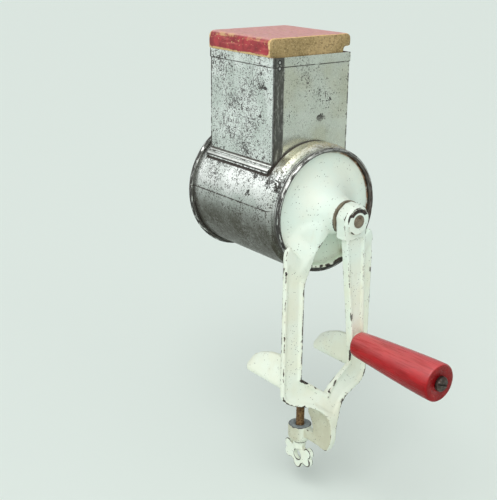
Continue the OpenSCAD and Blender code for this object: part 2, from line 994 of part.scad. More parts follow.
// staggered holes, one column to each flat
module panel_holes(turn) {
  for (flat = [0 : panel_flats - 1]) {
    stagger = 0.5 * ((turn * panel_flats + flat) % 2);
    rotate([0, (flat + 0.5) * flat_angle - 45, 0])
      for (ring = [0 : drum_rings - 1])
        translate([drum_radius - 3, drum_front + ring_start + (ring + stagger) * ring_pitch, 0])
          rotate([0, 90, 0])
            cylinder(h = 5, r = hole_radius, $fn = 8);
  }
}

module drum_front_plate() {
  flange = (drum_radius - drum_sheet) * cos(180 / drum_flats) - 0.1;
  plate = drum_front + hub_plate;
  color("lightgray")
    with_crank()
      difference() {
        turned()
          polygon([
            [0, plate],
            [flange - drum_sheet, plate],
            [flange - drum_sheet, drum_front + 0.3],
            [flange, drum_front + 0.3],
            [flange, plate + drum_sheet],
            [0, plate + drum_sheet]
          ]);
        square_hole();
        rivet_holes();
      }
}

module square_hole() {
  side = drum_square + square_clearance;
  translate([-side / 2, drum_front - 1, -side / 2])
    cube([side, hub_plate + drum_sheet + 2, side]);
}

module rivet_holes() {
  for (turn = [45 : 90 : 315])
    rotate([0, turn, 0])
      translate([rivet_circle, drum_front - 1, 0])
        rotate([-90, 0, 0])
          cylinder(h = hub_plate + drum_sheet + 2, r = rivet_radius + 0.03, $fn = round_fn);
}

module drum_hub_plate() {
  color("darkgray")
    with_crank()
      difference() {
        turned()
          translate([0, drum_front])
            square([hub_plate_radius, hub_plate]);
        square_hole();
        rivet_holes();
      }
}

module drum_rivets() {
  back = drum_front + hub_plate + drum_sheet;
  color("gray")
    with_crank()
      for (turn = [45 : 90 : 315])
        rotate([0, turn, 0])
          translate([rivet_circle, 0, 0])
            turned()
              polygon([
                [0, drum_front - rivet_head_height],
                [0.6 * rivet_head_radius, drum_front - rivet_head_height],
                [rivet_head_radius, drum_front - 0.2],
                [rivet_head_radius, drum_front],
                [rivet_radius, drum_front],
                [rivet_radius, back],
                [rivet_head_radius, back],
                [rivet_head_radius, back + 0.2],
                [0.6 * rivet_head_radius, back + rivet_head_height],
                [0, back + rivet_head_height]
              ]);
}

module drum_washer() {
  color("darkgray")
    with_crank()
      turned()
        translate([stud_radius + 0.2, washer_front])
          square([3.3, nut_washer]);
}

module wing_nut() {
  color("gray")
    with_crank()
      difference() {
        union() {
          turned()
            polygon([
              [0, nut_front], [5.8, nut_front], [5, nut_front + nut_length], [0, nut_front + nut_length]
            ]);
          both_sides()
            translate([0, 0, -1.2])
              linear_extrude(2.4)
                polygon([
                  [3, nut_front + 1.2], [7, nut_front + 1.6], [nut_span - 2, nut_front + 4.5],
                  [nut_span, nut_front + 8], [nut_span - 1, nut_front + 11],
                  [nut_span - 4, nut_front + 11.6], [8, nut_front + 9.4], [3, nut_front + 7.2]
                ]);
        }
        rotate([-90, 0, 0])
          cylinder(h = 60, r = stud_radius + 0.05, $fn = round_fn);
      }
}

// clamp

module at_screw() {
  placed()
    translate([0, clamp_reach, 0])
      children();
}

module clamp_screw() {
  color("peru")
    at_screw()
      rotate_extrude($fn = fine)
        polygon([
          [0, -wing_top - wing_hub],
          [screw_radius - 0.6, -wing_top - wing_hub],
          [screw_radius, -wing_top - wing_hub + 0.6],
          [screw_radius, -pad_top - pad_thickness - 0.3],
          [screw_radius - 0.8, -pad_top - pad_thickness - 0.3],
          [screw_radius - 0.8, -pad_top - 2.3],
          [4.2, -pad_top - 1.9],
          [3.6, -pad_top - 1],
          [0, -pad_top - 0.7]
        ]);
}

module swivel_pad() {
  neck = screw_radius - 0.8 + 0.08;
  color("gray")
    at_screw()
      rotate_extrude($fn = fine)
        polygon([
          [neck, -pad_top - pad_thickness],
          [6, -pad_top - pad_thickness],
          [pad_radius, -pad_top - 2.2],
          [pad_radius, -pad_top - 0.5],
          [pad_radius - 0.5, -pad_top],
          [5.4, -pad_top],
          [5.4, -pad_top - 1.6],
          [4.6, -pad_top - 2.5],
          [neck, -pad_top - 2.5]
        ]);
}

module wing_outline() {
  difference() {
    union() {
      translate([0, -wing_middle])
        circle(r = wing_span - 2.4, $fn = round_fn);
      translate([0, -wing_middle - wing_span + 3.6])
        circle(r = wing_lobe + 0.2, $fn = round_fn);
      for (side = [-1, 1]) {
        translate([side * wing_span, -wing_middle + wing_lobe + 0.6])
          circle(r = wing_lobe, $fn = round_fn);
        translate([side * (wing_span - 0.6), -wing_middle - wing_lobe + 1.4])
          circle(r = wing_lobe, $fn = round_fn);
        translate([side * (wing_span - 4), -wing_middle])
          circle(r = wing_lobe + 2, $fn = round_fn);
      }
      translate([-5, -wing_middle])
        square([10, wing_middle - wing_top - wing_gap]);
    }
    translate([0, -wing_middle - 0.6])
      circle(r = wing_eye, $fn = round_fn);
  }
}

module clamp_wing() {
  color("ivory")
    at_screw()
      rotate([0, 0, wing_turn])
        difference() {
          union() {
            from_side(-wing_thickness / 2, wing_thickness / 2)
              wing_outline();
            translate([0, 0, -wing_top - wing_hub])
              cylinder(h = wing_hub, r1 = 4.6, r2 = 5.4, $fn = round_fn);
          }
          translate([0, 0, -wing_top - wing_hub - 0.05])
            cylinder(h = wing_hub + 1, r = screw_radius + 0.03, $fn = fine);
        }
}

cast_frame();
housing_tube();
front_rim_wire();
rear_rim_wire();
hopper();
pusher();
crank_shaft();
thrust_washer();
crank_arm();
crank_grip();
grip_bolt();
drum_panel(0);  // drum_panel_right
drum_panel(1);  // drum_panel_bottom
drum_panel(2);  // drum_panel_left
drum_panel(3);  // drum_panel_top
drum_front_plate();
drum_hub_plate();
drum_rivets();
drum_washer();
wing_nut();
clamp_screw();
clamp_wing();
swivel_pad();
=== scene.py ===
# %% [markdown]
# ## A rotary grater that clamps to a table
# The real object is a cast and enamelled frame with a tinplate drum housing, a punched grating drum inside it,
# a red wooden pusher and a crank with a red grip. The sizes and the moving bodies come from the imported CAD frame,
# so this lesson only dresses that frame: it softens the castings, turns the grip, punches the drum's teeth and
# gives each part the finish of old kitchen tinware. Everything is in metres and stays where the CAD puts it.

# %% Load the frame
import json
import math

import bmesh
import bpy
import numpy as np
from mathutils import Matrix, Quaternion, Vector


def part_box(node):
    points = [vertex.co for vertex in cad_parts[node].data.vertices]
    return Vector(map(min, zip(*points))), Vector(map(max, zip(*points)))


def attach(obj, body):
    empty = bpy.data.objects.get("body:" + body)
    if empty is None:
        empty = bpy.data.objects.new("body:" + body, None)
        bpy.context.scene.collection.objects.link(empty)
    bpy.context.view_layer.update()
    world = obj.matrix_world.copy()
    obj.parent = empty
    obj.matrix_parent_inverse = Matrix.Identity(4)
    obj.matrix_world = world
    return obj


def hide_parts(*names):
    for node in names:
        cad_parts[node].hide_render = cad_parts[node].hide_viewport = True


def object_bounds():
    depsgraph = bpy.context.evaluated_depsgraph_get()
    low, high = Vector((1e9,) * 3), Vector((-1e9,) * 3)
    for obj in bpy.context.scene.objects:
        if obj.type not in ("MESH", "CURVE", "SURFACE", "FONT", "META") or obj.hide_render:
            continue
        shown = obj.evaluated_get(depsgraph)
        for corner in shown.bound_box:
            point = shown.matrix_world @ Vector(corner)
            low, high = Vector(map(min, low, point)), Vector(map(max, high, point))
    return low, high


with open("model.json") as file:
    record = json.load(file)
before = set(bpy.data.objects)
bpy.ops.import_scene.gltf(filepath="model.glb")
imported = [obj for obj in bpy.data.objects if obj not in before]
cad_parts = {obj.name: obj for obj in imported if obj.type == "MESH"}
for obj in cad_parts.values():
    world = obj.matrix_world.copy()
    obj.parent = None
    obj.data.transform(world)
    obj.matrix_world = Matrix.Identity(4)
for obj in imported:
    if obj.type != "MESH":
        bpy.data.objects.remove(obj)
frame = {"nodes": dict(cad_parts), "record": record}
cad_box = [list(corner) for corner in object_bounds()]
nodes = frame["nodes"]
mm = 0.001
drum_axis_y = -21 * mm
drum_axis_z = 124 * mm
print("CAD box", [[round(v, 4) for v in corner] for corner in cad_box])

# %% [markdown]
# Every measurement of this object was taken from the drum's axis, at the front face of the cast disc. One small
# helper turns such a place, in millimetres, into the frame that the CAD uses. Another makes a finished mesh
# into an object that rides on a moving body. Keeping both short means that each later cell only tells its own story.

# %% Places and pieces
def place(x, y, z):
    """A point given in mm from the drum's axis, in the row frame."""
    return Vector((x * mm, drum_axis_y + y * mm, drum_axis_z + z * mm))


def make_piece(name, shape, body, stands_for=()):
    """Turns a bmesh into a smooth-shaded object that rides on a body."""
    mesh = bpy.data.meshes.new(name)
    shape.to_mesh(mesh)
    shape.free()
    piece = bpy.data.objects.new(name, mesh)
    bpy.context.scene.collection.objects.link(piece)
    for face in mesh.polygons:
        face.use_smooth = True
    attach(piece, body)
    if stands_for:
        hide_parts(*stands_for)
    print(name, len(mesh.polygons), "faces on", body)
    return piece


def turned(profile, start, along, steps):
    """Spins a profile of (distance, radius) pairs, in mm, once round a line."""
    shape = bmesh.new()
    along = Vector(along).normalized()
    side = along.orthogonal().normalized()
    points = [shape.verts.new(start + along * d * mm + side * r * mm) for d, r in profile]
    edges = [shape.edges.new(pair) for pair in zip(points, points[1:])]
    bmesh.ops.spin(shape, geom=points + edges, cent=start, axis=along, angle=2 * math.pi,
                   steps=steps, use_merge=True, use_normal_flip=False)
    bmesh.ops.remove_doubles(shape, verts=shape.verts, dist=1e-6)
    bmesh.ops.recalc_face_normals(shape, faces=shape.faces)
    return shape

# %% [markdown]
# Sand-cast iron has no sharp edge anywhere: the sand rounds it, and the enamel rounds it again. A bevel on every
# edge of a part that has channels, ribs and flares would tangle, so the casting is made the way clay would be.
# A merged copy of the CAD node is remeshed into small even cells, and then smoothed a little, which rounds each
# corner by about a millimetre and leaves the flat faces flat.

# %% Soft castings
def softened(node, cell, rounds, factor=0.5):
    """A remeshed and smoothed copy of a CAD node, as a bmesh."""
    source = nodes[node]
    merged = bmesh.new()
    merged.from_mesh(source.data)
    bmesh.ops.remove_doubles(merged, verts=merged.verts, dist=1e-6)
    mesh = bpy.data.meshes.new(node + "_copy")
    merged.to_mesh(mesh)
    merged.free()
    copy = bpy.data.objects.new(node + "_copy", mesh)
    bpy.context.scene.collection.objects.link(copy)
    remesh = copy.modifiers.new("cells", "REMESH")
    remesh.mode = "VOXEL"
    remesh.voxel_size = cell * mm
    remesh.adaptivity = 0.0
    graph = bpy.context.evaluated_depsgraph_get()
    shape = bmesh.new()
    shape.from_object(copy, graph)
    bpy.data.objects.remove(copy)
    for _ in range(rounds):
        bmesh.ops.smooth_vert(shape, verts=shape.verts, factor=factor,
                              use_axis_x=True, use_axis_y=True, use_axis_z=True)
    return shape


def mark_wear(piece, spread):
    """Writes how far each point stands out from its neighbours, which is where enamel and paint wear off."""
    mesh = piece.data
    count = len(mesh.vertices)
    place_of = np.zeros(count * 3)
    mesh.vertices.foreach_get("co", place_of)
    place_of = place_of.reshape(-1, 3)
    normal = np.zeros(count * 3)
    mesh.vertices.foreach_get("normal", normal)
    normal = normal.reshape(-1, 3)
    ends = np.zeros(len(mesh.edges) * 2, int)
    mesh.edges.foreach_get("vertices", ends)
    ends = ends.reshape(-1, 2)
    degree = np.bincount(ends.ravel(), minlength=count)[:, None]

    def around(values):
        total = np.zeros_like(values)
        np.add.at(total, ends[:, 0], values[ends[:, 1]])
        np.add.at(total, ends[:, 1], values[ends[:, 0]])
        return total / np.maximum(degree, 1)

    middle = around(place_of)
    for _ in range(spread):
        middle = around(middle)
    out = ((place_of - middle) * normal).sum(1)
    size = np.linalg.norm(place_of[ends[:, 0]] - place_of[ends[:, 1]], axis=1).mean()
    wear = np.clip(0.5 + out / size * 0.5, 0, 1)
    layer = mesh.attributes.new("wear", "FLOAT", "POINT")
    layer.data.foreach_set("value", wear.astype(np.float32))
    print(piece.name, "wear from", round(float(wear.min()), 2), "to", round(float(wear.max()), 2))


def blended(shape, line, reach, rounds, depth):
    """Smooths the front of a shape more along a line, on both sides. A depth of 0 ignores how far back it lies."""
    flat = Vector((1, depth, 1))
    line = [point * flat for point in line]
    chosen = []
    for point in shape.verts:
        if point.normal.y > -0.1:
            continue
        local = Vector((abs(point.co.x), point.co.y, point.co.z)) * flat
        for a, b in zip(line, line[1:]):
            along = max(0.0, min(1.0, (local - a).dot(b - a) / (b - a).length_squared))
            if (local - a.lerp(b, along)).length < reach * mm:
                chosen.append(point)
                break
    for _ in range(rounds):
        bmesh.ops.smooth_vert(shape, verts=chosen, factor=0.5, use_axis_x=True, use_axis_y=True, use_axis_z=True)
    print("blended", len(chosen), "points")
    return shape


frame_shape = softened("cast_frame", 0.8, 3)
frame_shape.normal_update()
strut_top = [place(12, -12.4, -3.5), place(25.5, 3.1, -12), place(38.5, 3.7, -22.5)]
blended(frame_shape, strut_top, 6.5, 30, 1)
channel_end = [place(37, 0, -31), place(28, 0, -31.5), place(28.3, 0, -40)]
blended(frame_shape, channel_end, 5, 14, 0)
casting = make_piece("frame_casting", frame_shape, "frame", ["cast_frame"])
mark_wear(casting, 3)
arm = make_piece("crank_casting", softened("crank_arm", 0.5, 3), "crank", ["crank_arm"])
mark_wear(arm, 4)
wing = make_piece("wing_casting", softened("clamp_wing", 0.35, 3), "screw", ["clamp_wing"])
mark_wear(wing, 4)
thumb_nut = make_piece("nut_casting", softened("wing_nut", 0.35, 2), "crank", ["wing_nut"])
mark_wear(thumb_nut, 4)

# %% [markdown]
# The pusher is a sawn block of soft wood with a thicker cap. Sandpaper and years of pressing have rounded its
# edges. The same remeshing gives those worn corners and keeps the sawn faces straight.

# %% The wooden pusher
pusher_block = make_piece("pusher_block", softened("pusher", 0.9, 7), "pusher", ["pusher"])
mark_wear(pusher_block, 4)

# %% [markdown]
# The grip was turned on a lathe, so it is made as a lathe makes it: one profile, spun about the grip's own axis.
# It is thinner at the crank, swells towards the hand and is rounded over at both ends.

# %% The turned grip
low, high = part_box("crank_grip")
grip_length = (high.y - low.y) / mm
grip_radius = (high.x - low.x) / 2 / mm
grip_start = Vector(((low.x + high.x) / 2, high.y, (low.z + high.z) / 2))
bolt_hole = 3.03
inner, outer, length = 9.2, grip_radius, grip_length
grip_profile = [
    (0.0, bolt_hole), (0.0, inner - 1.9), (0.3, inner - 1.0), (1.0, inner - 0.35), (2.4, inner),
    (12.0, inner + 0.75), (26.0, inner + 1.7), (40.0, inner + 2.6), (54.0, inner + 3.35), (66.0, outer - 0.12),
    (length - 1.5, outer), (length - 0.75, outer - 0.2), (length - 0.25, outer - 0.65), (length, outer - 1.4),
    (length, bolt_hole),
]
grip_shape = turned(grip_profile + [grip_profile[0]], grip_start, (0, -1, 0), 72)
grip = make_piece("turned_grip", grip_shape, "grip", ["crank_grip"])

# %% [markdown]
# The clamp screw has a rolled thread. Its core is turned like the grip, a little thinner than the screw. The ridge
# is one small outline, spun round the screw many times while each step also moves it down: an operator's way to
# make a helix. One turn moves it down by the same pitch that the clamp's joint has, so the thread runs true.

# %% The thread of the clamp screw
low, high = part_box("clamp_screw")
screw_top = Vector((0, 0, high.z))
screw_length = (high.z - low.z) / mm
down = Vector((0, 0, -1))
core_radius, neck_radius, crest_radius = 2.85, 2.45, 3.22
core_profile = [
    (0.0, 0.0), (0.3, 3.6), (1.2, 4.2), (1.6, neck_radius), (3.6, neck_radius), (3.6, core_radius),
    (screw_length - 0.6, core_radius), (screw_length, core_radius - 0.5), (screw_length, 0.0),
]
screw_shape = turned(core_profile, screw_top, down, 40)
pitch = frame["record"]["behaviour"]["couplings"][0]["ratio"] * 2 * math.pi / mm
thread_start, thread_end, steps_a_turn = 4.6, screw_length - 1.2, 20
turns = (thread_end - thread_start) / pitch
ridge_outline = [(-0.52, core_radius - 0.1), (-0.12, crest_radius), (0.12, crest_radius), (0.52, core_radius - 0.1)]
ridge = [screw_shape.verts.new(screw_top + Vector((r, 0, -thread_start - d)) * mm) for d, r in ridge_outline]
ridge_face = screw_shape.faces.new(ridge)
spun = bmesh.ops.spin(screw_shape, geom=[ridge_face, *ridge_face.edges, *ridge], cent=screw_top, axis=down,
                      dvec=down * pitch * mm / steps_a_turn, angle=2 * math.pi * turns,
                      steps=round(turns * steps_a_turn), use_merge=False)
bmesh.ops.recalc_face_normals(screw_shape, faces=screw_shape.faces)
screw = make_piece("threaded_screw", screw_shape, "screw", ["clamp_screw"])
print("thread of", round(turns, 1), "turns, pitch", round(pitch, 2), "mm")

# %% [markdown]
# The hopper's side walls end in a soldered foot, whose free edge is folded back and hammered into a bead, with a
# narrower one above it. They catch the light as bright lines on the tube; the dark band under them is painted
# shadow on the tube, and their lower sides are painted shade. A bead is a flattened circle that is extruded along
# the foot, and its mirror image makes the other side.

# %% The folded foot of the hopper
tube_radius, hopper_front, hopper_back = 45.5, 19.0, 91.0
bead_angle, bead_radius = 38.9, 1.75
ridge_angle, ridge_radius = 42.9, 0.95


def foot_bead(side, angle, radius):
    """A rounded bead along the tube, on the left (-1) or on the right (1)."""
    shape = bmesh.new()
    made = bmesh.ops.create_circle(shape, segments=14, radius=radius * mm, cap_ends=True)
    up = math.radians(angle)
    outward = Vector((side * math.cos(up), 0, math.sin(up)))
    across = outward.cross(Vector((0, 1, 0)))
    turn = Matrix((across, outward, Vector((0, 1, 0)))).transposed().to_4x4()
    start = place(outward.x * (tube_radius + 0.75), hopper_front + 0.5, outward.z * (tube_radius + 0.75))
    bmesh.ops.scale(shape, verts=made["verts"], vec=(1, 0.7, 1))
    bmesh.ops.transform(shape, matrix=Matrix.Translation(start) @ turn, verts=made["verts"])
    grown = bmesh.ops.extrude_face_region(shape, geom=shape.faces[:])
    points = [g for g in grown["geom"] if isinstance(g, bmesh.types.BMVert)]
    bmesh.ops.translate(shape, verts=points, vec=(0, (hopper_back - hopper_front - 1.0) * mm, 0))
    rings = [e for e in shape.edges if abs((e.verts[0].co - e.verts[1].co).y) < 1e-6]
    bmesh.ops.bevel(shape, geom=rings, offset=0.25 * mm, offset_type="OFFSET", segments=3, profile=0.5,
                    affect="EDGES", material=-1)
    bmesh.ops.recalc_face_normals(shape, faces=shape.faces)
    return shape


foot_beads = [make_piece(hand + kind, foot_bead(side, angle, radius), "frame")
              for hand, side in (("left_foot_", -1), ("right_foot_", 1))
              for kind, angle, radius in (("bead", bead_angle, bead_radius), ("ridge", ridge_angle, ridge_radius))]

# %% [markdown]
# Each hole of the drum was punched from inside, and the burst metal stands up around it in a ring of small teeth.
# Those teeth do the grating. One ring is made from a circle that is extruded outwards and drawn in, its points
# are pulled up by turns, and then the ring is copied along the drum and round it.

# %% The punched teeth
drum_radius, drum_flats, drum_rings = 41.0, 24, 6
ring_start, ring_pitch, drum_front = 7.5, 12.0, 12.0


def tooth_ring(seed):
    """One burst hole at the origin, opening along +Z, in metres."""
    shape = bmesh.new()
    made = bmesh.ops.create_circle(shape, segments=10, radius=3.3 * mm, cap_ends=False)
    for height, radius in ((0.55, 2.75), (1.25, 2.0)):
        loop = [e for e in shape.edges if len(e.link_faces) < 2
                and (height < 1 or all(v.co.z > 0.4 * mm for v in e.verts))]
        grown = bmesh.ops.extrude_edge_only(shape, edges=loop)
        points = [g for g in grown["geom"] if isinstance(g, bmesh.types.BMVert)]
        for count, point in enumerate(points):
            scale = radius * mm / point.co.xy.length
            point.co.x *= scale
            point.co.y *= scale
            ripple = 0.3 * math.sin(count * 2.4 + seed) if height > 1 else 0
            point.co.z = (height - 0.35 + ripple * 0.5) * mm
    return shape


teeth = bmesh.new()
ring_mesh = bpy.data.meshes.new("ring")
for row in range(drum_rings):
    for turn in range(drum_flats):
        one = tooth_ring(row * 1.7 + turn * 0.9)
        angle = 2 * math.pi * (turn + 0.5 * (row % 2)) / drum_flats
        outward = Vector((math.cos(angle), 0, math.sin(angle)))
        frame_of = Matrix((outward.cross(Vector((0, 1, 0))), Vector((0, 1, 0)), outward)).transposed().to_4x4()
        centre = place(outward.x * drum_radius, drum_front + ring_start + row * ring_pitch, outward.z * drum_radius)
        bmesh.ops.transform(one, matrix=Matrix.Translation(centre) @ frame_of, verts=one.verts)
        one.to_mesh(ring_mesh)
        one.free()
        teeth.from_mesh(ring_mesh)
bmesh.ops.solidify(teeth, geom=teeth.faces[:], thickness=0.3 * mm)
drum_teeth = make_piece("drum_teeth", teeth, "crank")

# %% [markdown]
# A finish is easier to judge when it is written in few words. This small class adds shader nodes by name and
# joins them, so that each finish below reads as a recipe: a ground colour, what age did to it, and how it shines.
# All patterns read Object coordinates, in metres, so they stay on the part when it moves.

# %% A short way to write finishes
def paint(red, green, blue):
    """A colour from 0 to 255, as seen on a screen, as the shader's linear colour."""
    linear = [(c / 255 / 12.92) if c / 255 <= 0.04045 else ((c / 255 + 0.055) / 1.055) ** 2.4
              for c in (red, green, blue)]
    return (*linear, 1.0)


class Finish:
    """A material, with short ways to add and join its nodes."""

    def __init__(self, name, roughness=0.5, metallic=0.0):
        self.material = bpy.data.materials.new(name)
        self.material.use_nodes = True
        self.tree = self.material.node_tree
        self.shader = self.tree.nodes["Principled BSDF"]
        self.shader.inputs["Roughness"].default_value = roughness
        self.shader.inputs["Metallic"].default_value = metallic
        coordinates = self.add("TexCoord")
        self.object = coordinates.outputs["Object"]
        self.facing = coordinates.outputs["Normal"]

    def add(self, kind):
        return self.tree.nodes.new("ShaderNode" + kind)

    def feed(self, socket, value):
        """Joins a node's output to a socket, or writes a number there."""
        if isinstance(value, bpy.types.NodeSocket):
            self.tree.links.new(value, socket)
        else:
            socket.default_value = value

    def moved(self, scale, turn=(0, 0, 0), shift=(0, 0, 0)):
        node = self.add("Mapping")
        self.feed(node.inputs["Vector"], self.object)
        node.inputs["Scale"].default_value = scale
        node.inputs["Rotation"].default_value = turn
        node.inputs["Location"].default_value = shift
        return node.outputs["Vector"]

    def cloud(self, size, detail=3.0, rough=0.5, where=None, twist=0.0):
        """Soft noise whose lumps are about size mm across."""
        node = self.add("TexNoise")
        self.feed(node.inputs["Vector"], where or self.object)
        node.inputs["Scale"].default_value = 1 / (size * mm)
        node.inputs["Detail"].default_value = detail
        node.inputs["Roughness"].default_value = rough
        node.inputs["Distortion"].default_value = twist
        return node.outputs["Fac"]

    def dots(self, size, where=None, chance=1.0):
        """Distance to scattered points about size mm apart."""
        node = self.add("TexVoronoi")
        self.feed(node.inputs["Vector"], where or self.object)
        node.inputs["Scale"].default_value = 1 / (size * mm)
        node.inputs["Randomness"].default_value = chance
        return node.outputs["Distance"]

    def span(self, value, low, high, to_low=0.0, to_high=1.0):
        """Stretches a value from low..high to another range, and holds it there."""
        node = self.add("MapRange")
        node.interpolation_type = "SMOOTHSTEP"
        self.feed(node.inputs["Value"], value)
        self.feed(node.inputs["From Min"], low)
        self.feed(node.inputs["From Max"], high)
        node.inputs["To Min"].default_value = to_low
        node.inputs["To Max"].default_value = to_high
        return node.outputs["Result"]

    def sum(self, operation, a, b=0.0, clamp=False):
        node = self.add("Math")
        node.operation = operation
        node.use_clamp = clamp
        self.feed(node.inputs[0], a)
        self.feed(node.inputs[1], b)
        return node.outputs["Value"]

    def blend(self, share, a, b, way="MIX"):
        node = self.add("Mix")
        node.data_type = "RGBA"
        node.blend_type = way
        self.feed(node.inputs["Factor"], share)
        self.feed(node.inputs[6], a)
        self.feed(node.inputs[7], b)
        return node.outputs[2]

    def axes(self, vector=None):
        node = self.add("SeparateXYZ")
        self.feed(node.inputs["Vector"], vector or self.object)
        return node.outputs

    def cracks(self, size, where=None, bend=0.5):
        """Distance to the walls between cells about size mm across, with the walls bent by noise."""
        stir = self.add("TexNoise")
        self.feed(stir.inputs["Vector"], where or self.object)
        stir.inputs["Scale"].default_value = 1 / (size * 0.6 * mm)
        stir.inputs["Detail"].default_value = 3
        bent = self.add("VectorMath")
        bent.operation = "MULTIPLY_ADD"
        self.feed(bent.inputs[0], stir.outputs["Color"])
        bent.inputs[1].default_value = (bend * size * mm,) * 3
        self.feed(bent.inputs[2], where or self.object)
        node = self.add("TexVoronoi")
        node.feature = "DISTANCE_TO_EDGE"
        self.feed(node.inputs["Vector"], bent.outputs["Vector"])
        node.inputs["Scale"].default_value = 1 / (size * mm)
        return node.outputs["Distance"]

    def around_drum(self):
        """How far a point is from the drum's axis, in metres."""
        node = self.add("VectorMath")
        node.operation = "LENGTH"
        self.feed(node.inputs[0], self.moved((1, 0, 1), shift=(0, 0, -drum_axis_z)))
        return node.outputs["Value"]

    def along_rings(self, slow=1.0):
        """Coordinates that run round the drum's axis, for marks that follow a rolled rim."""
        x, y, z = self.axes(self.moved((1, 1, 1), shift=(0, 0, -drum_axis_z)))[:3]
        angle = self.sum("MULTIPLY", self.sum("ARCTAN2", x, z), 45 * mm * slow)
        node = self.add("CombineXYZ")
        for socket, value in zip(node.inputs, (angle, self.around_drum(), y)):
            self.feed(socket, value)
        return node.outputs["Vector"]

    def creases(self, reach):
        """Near 1 in the open and lower in narrow corners, where the finishes paint shade and grime."""
        node = self.add("AmbientOcclusion")
        node.samples = 8
        node.only_local = True
        node.inputs["Distance"].default_value = reach * mm
        return node.outputs["AO"]

    def worn(self):
        node = self.add("Attribute")
        node.attribute_name = "wear"
        return node.outputs["Fac"]

    def bump(self, height, depth, below=None, strength=1.0):
        node = self.add("Bump")
        node.inputs["Strength"].default_value = strength
        node.inputs["Distance"].default_value = depth * mm
        self.feed(node.inputs["Height"], height)
        if below is not None:
            self.feed(node.inputs["Normal"], below)
        return node.outputs["Normal"]

    def done(self, colour=None, roughness=None, metallic=None, normal=None):
        for name, value in (("Base Color", colour), ("Roughness", roughness),
                            ("Metallic", metallic), ("Normal", normal)):
            if value is not None:
                self.feed(self.shader.inputs[name], value)
        return self.material
